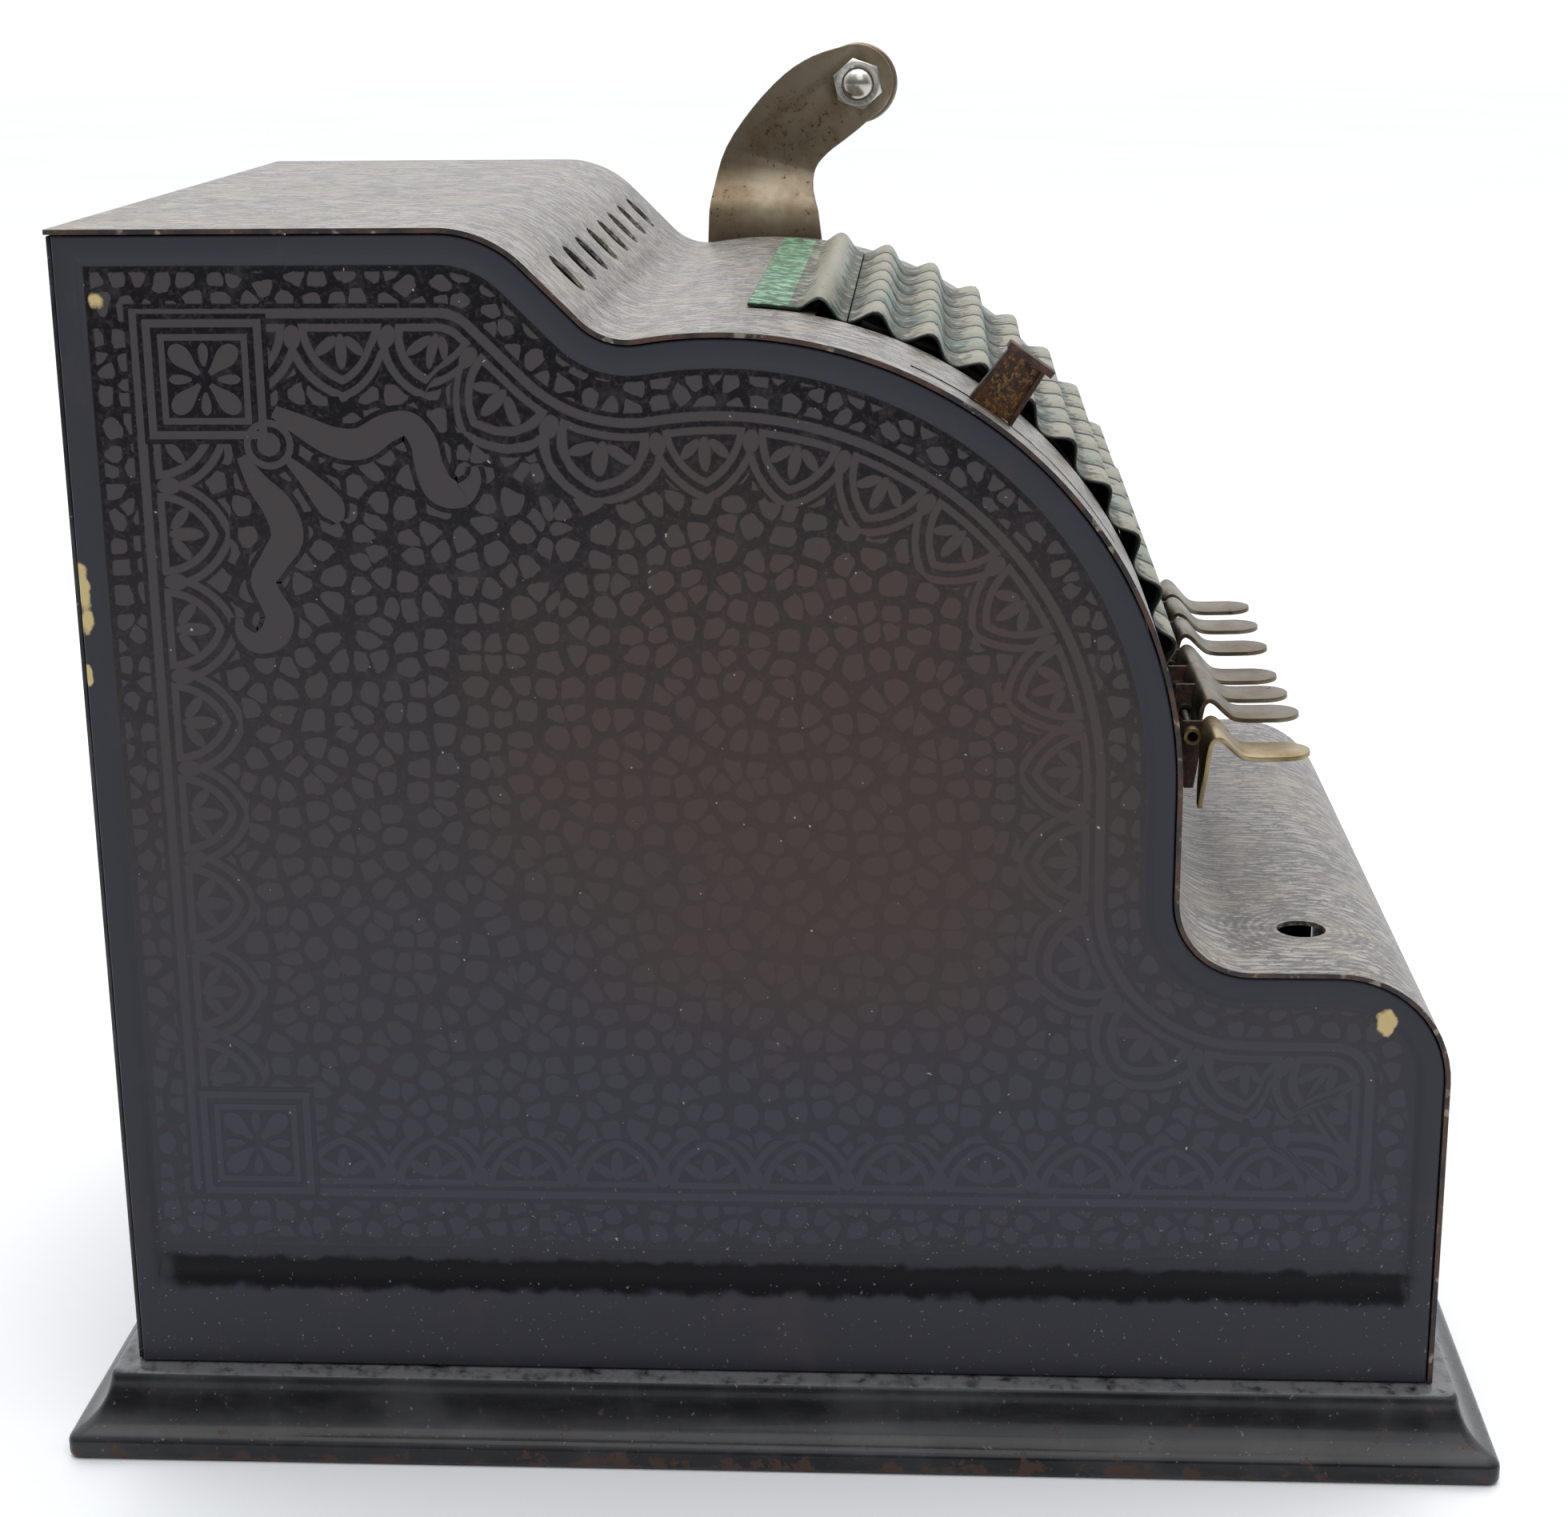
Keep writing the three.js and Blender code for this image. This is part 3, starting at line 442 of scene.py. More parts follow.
class Graph:
    """The nodes of one material, or of the world."""

    def __init__(self, name: str, world: bpy.types.World | None = None) -> None:
        """Starts an empty material of that name, or empties the world's nodes."""
        self.material = world or bpy.data.materials.new(name)
        self.material.use_nodes = True
        self.tree = self.material.node_tree
        self.tree.nodes.clear()
        self._place: bpy.types.NodeSocket | None = None

    def add(self, kind: str, settings: dict[str, Any], inputs: dict[int | str, Any]) -> NodeHandle:
        """Adds one node.

        Args:
            kind: The node's type.
            settings: Its own settings, set first.
            inputs: Values or links of its sockets, by number, name or identifier.

        Returns:
            The node, for its outputs.
        """
        node = self.tree.nodes.new(kind)
        for name, value in settings.items():
            setattr(node, name, value)
        for key, value in inputs.items():
            socket = self._socket(node, key)
            if isinstance(value, Signal):
                value = value.socket
            if isinstance(value, bpy.types.NodeSocket):
                self.tree.links.new(value, socket)
            elif isinstance(value, tuple) and socket.type == "RGBA":
                socket.default_value = (*value[:3], 1)
            else:
                socket.default_value = value
        return NodeHandle(self, node)

    @staticmethod
    def _socket(node: bpy.types.Node, key: int | str) -> bpy.types.NodeSocket:
        """A node's input by number, identifier or name."""
        if isinstance(key, int):
            return node.inputs[key]
        matches = [socket for socket in node.inputs if socket.identifier == key]
        return matches[0] if matches else node.inputs[key]

    def place(self) -> bpy.types.NodeSocket:
        """The surface's own place, in metres."""
        if self._place is None:
            self._place = self.add("ShaderNodeTexCoord", {}, {}).socket("Object")
        return self._place

    def axes(self, vector: bpy.types.NodeSocket | None = None) -> tuple[Signal, Signal, Signal]:
        """The place split in three, in millimetres."""
        source = vector or self.place()
        scaled = self.add("ShaderNodeVectorMath", {"operation": "SCALE"}, {0: source, "Scale": 1000.0})
        split = self.add("ShaderNodeSeparateXYZ", {}, {0: scaled.socket(0)})
        return split.signal("X"), split.signal("Y"), split.signal("Z")

    def stretched(self, x: float, y: float, z: float) -> bpy.types.NodeSocket:
        """The place with each axis multiplied, for a grain or streaks."""
        factors = {0: self.place(), 1: (x, y, z)}
        return self.add("ShaderNodeVectorMath", {"operation": "MULTIPLY"}, factors).socket(0)

    def noise(
        self,
        size: float,
        detail: float = 3.0,
        rough: float = 0.55,
        vector: bpy.types.NodeSocket | None = None,
    ) -> Signal:
        """Cloudy noise, from 0 to 1, with lumps of a size in millimetres."""
        where = vector or self.place()
        inputs = {"Vector": where, "Scale": 1000 / size, "Detail": detail, "Roughness": rough}
        return self.add("ShaderNodeTexNoise", {}, inputs).signal(0)

    def cells(
        self, size: float, feature: str, vector: bpy.types.NodeSocket | None = None
    ) -> Signal:
        """Cells of a size in millimetres, measured in cell widths."""
        inputs = {"Vector": vector or self.place(), "Scale": 1000 / size, "Randomness": 0.85}
        settings = {"voronoi_dimensions": "2D", "feature": feature}
        return self.add("ShaderNodeTexVoronoi", settings, inputs).signal("Distance")

    def mix(self, factor: Signal | float, first: Any, second: Any) -> bpy.types.NodeSocket:
        """Two colours mixed by a factor."""
        settings = {"data_type": "RGBA", "blend_type": "MIX", "clamp_factor": True}
        inputs = {"Factor_Float": factor, "A_Color": first, "B_Color": second}
        return self.add("ShaderNodeMix", settings, inputs).socket(2)

    def bump(
        self, height: Signal, depth: float, normal: bpy.types.NodeSocket | None = None
    ) -> bpy.types.NodeSocket:
        """Raises the surface by a height from 0 to 1, times a depth in millimetres."""
        inputs: dict[int | str, Any] = {"Height": height, "Distance": depth * MM, "Strength": 1.0}
        if normal is not None:
            inputs["Normal"] = normal
        return self.add("ShaderNodeBump", {}, inputs).socket(0)

    def surface(self, **sockets: Any) -> bpy.types.Material:
        """Closes the graph with a Principled surface.

        Args:
            **sockets: Values or links, with spaces in the names as underscores.

        Returns:
            The finished material.
        """
        inputs = {name.replace("_", " "): value for name, value in sockets.items()}
        shader = self.add("ShaderNodeBsdfPrincipled", {}, inputs)
        self.add("ShaderNodeOutputMaterial", {}, {"Surface": shader.socket(0)})
        return self.material


# ---- finishes ----------------------------------------------------------------------------


@dataclass(frozen=True)
class PanelEnamel:
    """Etched black enamel of the side panels, with its border read from the panel's map and a painted
    reflection of the floor turning its lower part bluish.
    """

    pebble: Colour = srgb(68, 65, 66)
    hollow: Colour = srgb(9, 9, 15)
    brown: Colour = srgb(76, 64, 60)
    # Bluish tone of the lower panel: a painted reflection of the pale floor.
    blue: Colour = srgb(66, 66, 75)
    band: Colour = srgb(54, 54, 61)
    black: Colour = srgb(6, 6, 8)
    chip: Colour = srgb(205, 184, 130)
    lint: Colour = srgb(190, 190, 188)
    pitch: float = 19.5
    phase: float = 40.2
    rim_to: float = 7.0
    pebble_border: Point = (8.3, 14.4)
    line_at: float = 15.4
    line_wide: float = 1.9
    arches_to: float = 33.2
    arch_at: float = 18.4
    arch_radius: float = 12.7
    arch_offset: float = 4.2
    wobble_scale: float = 260.0
    rusty_middle: Point = (-8.0, 152.0)
    rusty_reach: Point = (62.0, 60.0)
    cove: Point = (34.8, 41.8)
    cove_ends: Point = (-134.0, 131.0)
    foot_to: float = 19.8
    spots: tuple[tuple[float, float, float, float], ...] = ()

    def arch(self, along: Signal, depth: Signal) -> tuple[Signal, Signal, Signal]:
        """One arch of the border.

        Args:
            along: The distance along the border.
            depth: The distance in from the panel's edge.

        Returns:
            The distance from the arch's middle line, the height above its foot and the
            distance outside its curve.
        """
        across = abs(((along - self.phase) / self.pitch + 0.5).fraction() - 0.5) * self.pitch
        height = depth - self.arch_at
        reach = across + self.arch_offset
        return across, height, (reach * reach + height * height).root() - self.arch_radius

    def arches(self, along: Signal, depth: Signal) -> Signal:
        """One on the lines, petals and drops of the arched border, nothing in its hollows."""
        across, height, edge = self.arch(along, depth)
        frame = edge.between(-1.7, -0.1, 0.16) * height.over(0.0, 0.16)
        base = height.between(0.0, 1.5, 0.16) * edge.under(-0.1, 0.16)
        zigzag = edge.between(1.3, 2.9, 0.16) * height.over(4.0, 0.3)
        middle = self.petal(across, height - 5.4, 1.35, 3.5)
        left, up = across - 3.1, height - 4.3
        side = self.petal(left * 0.62 - up * 0.78, left * 0.78 + up * 0.62, 1.15, 2.7)
        drop = self.petal(self.pitch / 2 - across, height - 2.6, 1.7, 2.4)
        return frame.at_least(base).at_least(zigzag).at_least(middle).at_least(side).at_least(drop)

    def petal(self, u: Signal, v: Signal, half_width: float, half_length: float) -> Signal:
        """One inside an oval with its middle at nought."""
        return ((u / half_width) ** 2 + (v / half_length) ** 2).under(1.0, 0.18)

    def pebbles(self, graph: Graph, size: float, gap: float, wobble: float) -> Signal:
        """Rounded cells with dark gaps between them."""
        lumps = {"Vector": graph.place(), "Scale": self.wobble_scale, "Detail": 2.0}
        cloud = graph.add("ShaderNodeTexNoise", {}, lumps).socket("Color")
        shrunk = {0: cloud, "Scale": wobble * MM}
        shift = graph.add("ShaderNodeVectorMath", {"operation": "SCALE"}, shrunk).socket(0)
        split = graph.add("ShaderNodeSeparateXYZ", {}, {0: graph.place()})
        flat = graph.add("ShaderNodeCombineXYZ", {}, {0: split.socket(1), 1: split.socket(2), 2: 0.0})
        both = {0: flat.socket(0), 1: shift}
        vector = graph.add("ShaderNodeVectorMath", {"operation": "ADD"}, both).socket(0)
        edge = graph.cells(size, "DISTANCE_TO_EDGE", vector)
        middle = graph.cells(size, "F1", vector)
        return (edge - middle * 0.6 + 0.25).over(gap, 0.035)

    def material(self, inlay: float = -1.0) -> bpy.types.Material:
        """Makes the material.

        Args:
            inlay: Negative for the mapped panel; otherwise an inlaid piece, matte at one and
                dark at nought.

        Returns:
            The panel's material, or that of a flat inlaid piece on it.
        """
        mapped_name = "panel_enamel_chipped" if self.spots else "panel_enamel"
        graph = Graph(mapped_name if inlay < 0 else f"panel_inlay_{inlay:.0f}")
        _, y, z = graph.axes()
        cloud = graph.noise(34, 4)
        fine = graph.noise(0.9, 2)
        worn = graph.noise(7, 4)
        high = z.over(176, 62)
        off_y = (y - self.rusty_middle[0]) / self.rusty_reach[0]
        off_z = (z - self.rusty_middle[1]) / self.rusty_reach[1]
        rusty = (off_y**2 + off_z**2 + (cloud - 0.5) * 1.5).under(0.85, 0.75)
        contrast = (high * 0.72 + 0.28) * (1 - rusty * 0.4) * (worn.under(0.66, 0.16) * 0.5 + 0.5)
        if inlay < 0:
            mapped = graph.add("ShaderNodeUVMap", {"uv_map": "border"}, {}).socket(0)
            along, depth, _ = graph.axes(mapped)
            depth = depth + (fine - 0.5) * 0.35
            field = self.pebbles(graph, 5.4, 0.145, 2.1)
            small = self.pebbles(graph, 4.8, 0.17, 2.0)
            border = depth.between(*self.pebble_border, 0.2) * small
            line_to = self.line_at + self.line_wide
            line = depth.between(self.line_at, line_to, 0.16)
            arched = depth.over(line_to) * depth.under(self.arches_to)
            ornament = border.at_least(line).at_least(arched * self.arches(along, depth))
            plain = depth.under(self.rim_to, 0.2)
            raised = ornament.at_least(field * self.beyond(along, depth)).at_least(plain)
        else:
            plain = z * 0.0
            raised = z * 0.0 + inlay
        raised = raised * (worn.under(0.78, 0.05) * 0.5 + 0.5)
        # Bluish towards the bottom: painted reflection of the floor.
        lower = graph.mix(z.under(105, 45), self.pebble, self.blue)
        tint = graph.mix(rusty * 0.85, lower, self.brown)
        sunk = graph.mix(contrast, tint, self.hollow)
        etched = graph.mix(raised, sunk, tint)
        speckled = graph.mix(fine.over(0.6, 0.12) * 0.35, etched, self.brown)
        dusty = graph.mix(graph.noise(1.5, 2).over(0.76, 0.012) * 0.6, speckled, self.lint)
        satin = graph.mix(graph.noise(18, 5).over(0.66, 0.08) * 0.35, self.band, self.brown)
        colour = graph.mix(plain, dusty, satin)
        if inlay < 0:
            within = (y + (worn - 0.5) * 12).between(*self.cove_ends, 2.5)
            cove = (z + (worn - 0.5) * 5).between(*self.cove, 0.9) * within
            foot = (z + (worn - 0.5) * 3).under(self.foot_to, 1.2)
            shade = (cove + foot * 0.75).at_most(1.0) * depth.over(1.9, 0.3)
            colour = graph.mix(shade * 0.9, colour, self.black)
            colour = graph.mix(fine.over(0.715, 0.015) * z.under(58, 12) * 0.28, colour, self.lint)
            colour = self.chipped(graph, colour, y, z, worn)
        matte = (1 - contrast * 0.5) * 0.14 + raised * 0.1 + 0.38 + (cloud - 0.5) * 0.1
        rough = matte * (1 - plain) + plain * ((cloud - 0.5) * 0.12 + 0.42)
        relief = graph.bump(raised * contrast * 0.8 + fine * 0.25, 0.12)
        return graph.surface(
            Base_Color=colour, Roughness=rough, Metallic=0.0, Specular_IOR_Level=0.14, Normal=relief
        )

    def beyond(self, along: Signal, depth: Signal) -> Signal:
        """One past the arched border's zigzag line."""
        _, height, edge = self.arch(along, depth)
        return edge.over(3.7, 0.15) * height.over(6.5, 0.3)

    def chipped(
        self, graph: Graph, colour: bpy.types.NodeSocket, y: Signal, z: Signal, worn: Signal
    ) -> bpy.types.NodeSocket:
        """Adds the few chips that show pale old paint, near the edges."""
        for at_y, at_z, half_y, half_z in self.spots:
            reach = ((y - at_y) / half_y) ** 2 + ((z - at_z) / half_z) ** 2 + (worn - 0.5) * 3.2
            colour = graph.mix(reach.under(0.75, 0.2) * 0.9, colour, self.chip)
        return colour


@dataclass(frozen=True)
class BlackEnamel:
    """Plain glossy black enamel with dust, smudges and small rusty chips.

    Dust lies on what is above the ledge's height.
    """

    name: str = "black_enamel"
    base: Colour = srgb(24, 24, 31)
    rust: Colour = srgb(72, 50, 40)
    dust: Colour = srgb(150, 150, 150)
    gloss: float = 0.26
    dusting: float = 0.25
    ledge: float = 400.0

    def material(self) -> bpy.types.Material:
        """Makes the material."""
        graph = Graph(self.name)
        _, _, z = graph.axes()
        cloud = graph.noise(22, 5)
        fine = graph.noise(1.3, 3)
        streak = graph.noise(9, 4, 0.6, graph.stretched(1, 0.25, 1.6))
        low = z.under(3.6, 2.6)
        chips = (graph.noise(5.5, 5, 0.68) + low * 0.12).over(0.655, 0.02)
        smudge = cloud.over(0.56, 0.1) * 0.15
        lying = z.over(self.ledge, 0.25) * graph.noise(3, 3).over(0.38, 0.2) * 0.75
        haze = (streak.over(0.5, 0.2) * self.dusting + smudge * 0.6).at_least(lying)
        hazy = graph.mix(haze, self.base, self.dust)
        specks = graph.mix(fine.over(0.7, 0.02) * 0.55, hazy, self.dust)
        colour = graph.mix(chips * 0.85, specks, self.rust)
        rough = self.gloss + streak * 0.18 + chips * 0.35 + fine * 0.05
        height = graph.noise(2.4, 3) * 0.5 + cloud * 0.5 - chips * 0.6
        return graph.surface(
            Base_Color=colour,
            Roughness=rough,
            Metallic=0.0,
            Specular_IOR_Level=0.24,
            Coat_Weight=0.2,
            Coat_Roughness=0.06,
            Normal=graph.bump(height, 0.09),
        )


@dataclass(frozen=True)
class CoverEnamel:
    """Grained enamel of the wrap-over cover, greyed by dust in its fine ripples."""

    dark: Colour = srgb(38, 35, 36)
    dust: Colour = srgb(163, 158, 152)
    tan: Colour = srgb(138, 124, 104)
    hole: Point = (-71.3, -111.8)

    def material(self) -> bpy.types.Material:
        """Makes the material."""
        graph = Graph("cover_enamel")
        x, y, z = graph.axes()
        grain = graph.noise(1.9, 5, 0.7, graph.stretched(1.0, 0.34, 0.34))
        swirl = graph.noise(6.5, 3, 0.5, graph.stretched(1.0, 0.3, 0.3))
        cloud = graph.noise(34, 4)
        fine = graph.noise(0.8, 2)
        cracks = abs(graph.noise(3.0, 5, 0.66, graph.stretched(1.0, 0.4, 0.4)) - 0.5).under(0.03, 0.02)
        off_hole = ((x - self.hole[0]) ** 2 + (y - self.hole[1]) ** 2).root()
        ringed = off_hole.under(17, 8) * z.between(104, 114)
        rings = abs((off_hole / 1.9 + swirl * 1.2).fraction() - 0.5) * 2
        waves = abs((x / 2.1 + swirl * 3.4).fraction() - 0.5) * 2
        ripple = waves * (1 - ringed) + rings * ringed
        relief = grain * 0.74 + ripple * 0.26
        steep = z.under(112, 10) * 0.08 + z.under(84, 16) * 0.3
        lying = (relief.under(0.5, 0.11) * 0.56 + 0.24 - steep + (cloud - 0.5) * 0.7) * (1 - cracks * 0.75)
        dusty = graph.mix(lying.at_most(1.0).at_least(0.0), self.dark, self.dust)
        patina = graph.mix(graph.noise(16, 4).over(0.56, 0.12) * 0.4, dusty, self.tan)
        colour = graph.mix(fine.over(0.66, 0.04) * 0.5, patina, self.dark)
        rough = 0.36 + lying * 0.2 + grain * 0.1
        height = relief - cracks * 0.5
        return graph.surface(
            Base_Color=colour,
            Roughness=rough,
            Metallic=0.0,
            Specular_IOR_Level=0.6,
            Coat_Weight=0.2,
            Coat_Roughness=0.3,
            Normal=graph.bump(height, 0.34, graph.bump(swirl, 0.25)),
        )


@dataclass(frozen=True)
class WornEdge:
    """Brown metal where the enamel has rubbed off the cover's cut edge."""

    brown: Colour = srgb(74, 52, 42)
    bare: Colour = srgb(150, 138, 122)
    black: Colour = srgb(34, 30, 32)

    def material(self) -> bpy.types.Material:
        """Makes the material."""
        graph = Graph("worn_edge")
        patch = graph.noise(9, 5, 0.65)
        rubbed = graph.mix(patch.over(0.5, 0.1), self.black, self.brown)
        colour = graph.mix(graph.noise(3.5, 4).over(0.62, 0.05) * 0.7, rubbed, self.bare)
        relief = graph.bump(graph.noise(1.1, 3), 0.08)
        return graph.surface(
            Base_Color=colour, Roughness=patch * 0.3 + 0.3, Metallic=0.3, Normal=relief
        )


@dataclass(frozen=True)
class GreenEnamel:
    """Pale green paint on the corrugated sheets, rubbed and dusty on the ridges; painted light on upward
    faces, painted shade at the strips' gaps.
    """

    name: str
    wear: float
    paint: Colour = srgb(36, 62, 50)
    mint: Colour = srgb(72, 104, 84)
    cream: Colour = srgb(128, 125, 110)
    # Dark green-black: dirt in the dirt mask, and painted shade of the gaps between strips.
    grime: Colour = srgb(19, 21, 18)
    rust: Colour = srgb(110, 78, 52)
    axis: Point = (9.6, 147.5)
    foot: float = 93.1
    first_x: float = FIRST_COLUMN_X
    pitch: float = COLUMN_PITCH
    half: float = 9.9
    # Whether painted shade of the gaps between strips is drawn along each strip's edges.
    seamed: bool = True

    def material(self) -> bpy.types.Material:
        """Makes the material."""
        graph = Graph(self.name)
        x, y, z = graph.axes()
        across = abs(((x - self.first_x) / self.pitch + 0.5).fraction() - 0.5) * self.pitch
        # A dark band along each strip's two edges: painted shade of the gaps between the strips.
        gap_shade = across.over(self.half - 0.95, 0.25)
        off = ((y - self.axis[0]) ** 2 + (z - self.axis[1]) ** 2).root()
        rise = off.over(self.foot + 1.4, 2.0)
        streak = graph.noise(4.2, 5, 0.62, graph.stretched(0.45, 1.3, 1.3))
        cloud = graph.noise(13, 4)
        fine = graph.noise(0.7, 2)
        green = graph.mix(cloud.over(0.5, 0.25), self.paint, self.mint)
        # Faces turned upwards go cream: partly dust, partly painted light from above.
        facing = graph.add("ShaderNodeTexCoord", {}, {}).socket("Normal")
        turned = graph.add("ShaderNodeSeparateXYZ", {}, {0: facing})
        upward_dust_and_light = turned.signal(2).over(0.62, 0.3)
        # The cream mask mixes rubbed wear, streaks and the painted light on upward faces.
        rubbed = (rise * 0.25 + upward_dust_and_light * 0.4 + streak * 0.9 + self.wear - 0.5).over(0.6, 0.25)
        worn = graph.mix(rubbed, green, self.cream)
        dirt = ((1 - rise) * 0.3 + graph.noise(2.6, 4)).over(0.68, 0.12)
        dirty = graph.mix(dirt * 0.75, worn, self.grime)
        spotted = graph.mix(graph.noise(3.3, 5, 0.7).over(0.665, 0.02) * 0.75, dirty, self.rust)
        # Darkens each strip's edges with painted shade of the gaps between strips.
        colour = graph.mix(gap_shade * 0.9, spotted, self.grime) if self.seamed else spotted
        rough = 0.34 + rubbed * 0.16 + dirt * 0.2 + fine * 0.08
        return graph.surface(
            Base_Color=colour,
            Roughness=rough,
            Metallic=0.0,
            Specular_IOR_Level=0.3,
            Coat_Weight=0.08,
            Coat_Roughness=0.25,
            Normal=graph.bump(streak * 0.6 + fine * 0.3, 0.1),
        )


@dataclass(frozen=True)
class Nickel:
    """Old nickel plate with brown haze, fine scratches and rust spots."""

    name: str
    plate: Colour = srgb(168, 160, 146)
    haze: Colour = srgb(112, 94, 70)
    spot: Colour = srgb(58, 38, 27)
    hazing: float = 0.5
    spotting: float = 0.6
    stain: tuple[float, float, float] = (0.0, 0.0, 0.0)
    roughness: float = 0.3

    def material(self) -> bpy.types.Material:
        """Makes the material."""
        graph = Graph(self.name)
        _, y, z = graph.axes()
        cloud = graph.noise(15, 5, 0.6)
        scratch = graph.noise(0.9, 3, 0.6, graph.stretched(1.0, 1.0, 0.12))
        pits = graph.noise(1.5, 4, 0.7)
        near = pits * 0.0
        if self.stain[2] > 0:
            reach = ((y - self.stain[0]) ** 2 + (z - self.stain[1]) ** 2).root()
            near = reach.under(self.stain[2] * 0.55, self.stain[2] * 0.55)
        hazy = (cloud.over(0.5, 0.16) * self.hazing + near * 0.35).at_most(1.0)
        spots = (pits * 0.55 + cloud * 0.35 + near * 0.09 + self.spotting * 0.05).over(0.575, 0.03)
        colour = graph.mix(spots * 0.9, graph.mix(hazy, self.plate, self.haze), self.spot)
        rough = self.roughness + hazy * 0.16 + spots * 0.35 + scratch * 0.12
        metal = 1 - (spots * 0.75 + hazy * 0.15)
        height = scratch * 0.4 - spots * 0.6
        return graph.surface(
            Base_Color=colour, Roughness=rough, Metallic=metal, Normal=graph.bump(height, 0.05)
        )


@dataclass(frozen=True)
class Steel:
    """Plain dark steel of the inner works, oily and lightly scratched."""

    name: str = "dark_steel"
    metal: Colour = srgb(104, 104, 108)
    oil: Colour = srgb(44, 38, 34)

    def material(self) -> bpy.types.Material:
        """Makes the material."""
        graph = Graph(self.name)
        cloud = graph.noise(12, 5)
        scratch = graph.noise(0.8, 3, 0.6, graph.stretched(1.0, 0.2, 1.0))
        oily = cloud.over(0.52, 0.14)
        colour = graph.mix(oily * 0.8, self.metal, self.oil)
        rough = 0.32 + oily * 0.2 + scratch * 0.12
        return graph.surface(
            Base_Color=colour, Roughness=rough, Metallic=1 - oily * 0.35, Normal=graph.bump(scratch, 0.04)
        )


@dataclass(frozen=True)
class Rust:
    """Rusted sheet steel: brown with fine light and dark speckles."""

    name: str = "rusted_steel"
    brown: Colour = srgb(104, 70, 40)
    pale: Colour = srgb(158, 122, 74)
    dark: Colour = srgb(42, 28, 24)

    def material(self) -> bpy.types.Material:
        """Makes the material."""
        graph = Graph(self.name)
        speckle = graph.noise(1.1, 4, 0.7)
        cloud = graph.noise(6, 4)
        base = graph.mix(cloud.over(0.5, 0.18), self.dark, self.brown)
        light = graph.mix(speckle.over(0.55, 0.07) * 0.8, base, self.pale)
        colour = graph.mix(graph.noise(0.8, 3, 0.7).over(0.6, 0.05) * 0.8, light, self.dark)
        relief = graph.bump(speckle, 0.16)
        return graph.surface(
            Base_Color=colour, Roughness=0.55 + speckle * 0.3, Metallic=0.25, Normal=relief
        )


@dataclass(frozen=True)
class DialPaint:
    """Aged white paint of the counting wheels."""

    white: Colour = srgb(214, 208, 192)
    yellow: Colour = srgb(176, 158, 120)

    def material(self) -> bpy.types.Material:
        """Makes the material."""
        graph = Graph("dial_paint")
        cloud = graph.noise(5, 5)
        fine = graph.noise(0.6, 2)
        colour = graph.mix(cloud.over(0.5, 0.2) * 0.6, self.white, self.yellow)
        return graph.surface(
            Base_Color=colour, Roughness=0.4 + fine * 0.2, Metallic=0.0, Normal=graph.bump(fine, 0.03)
        )


@dataclass(frozen=True)
class DialInk:
    """Black figures on the counting wheels."""

    ink: Colour = srgb(18, 17, 18)
    faded: Colour = srgb(52, 48, 46)

    def material(self) -> bpy.types.Material:
        """Makes the material."""
        graph = Graph("dial_ink")
        patch = graph.noise(1.2, 3)
        colour = graph.mix(patch.over(0.55, 0.1), self.ink, self.faded)
        return graph.surface(Base_Color=colour, Roughness=0.35 + patch * 0.2, Metallic=0.0)


@dataclass(frozen=True)
class GripWood:
    """Dark stained and varnished wood of the crank's handle, its grain along the handle."""

    dark: Colour = srgb(26, 18, 15)
    warm: Colour = srgb(70, 42, 27)

    def material(self) -> bpy.types.Material:
        """Makes the material."""
        graph = Graph("grip_wood")
        grain = graph.noise(1.4, 5, 0.6, graph.stretched(0.07, 1.0, 1.0))
        worn = graph.noise(14, 3)
        colour = graph.mix(grain.over(0.5, 0.14) * 0.55 + worn.over(0.6, 0.1) * 0.3, self.dark, self.warm)
        return graph.surface(
            Base_Color=colour,
            Roughness=0.3 + grain * 0.2,
            Metallic=0.0,
            Coat_Weight=0.4,
            Coat_Roughness=0.15,
            Normal=graph.bump(grain, 0.06),
        )


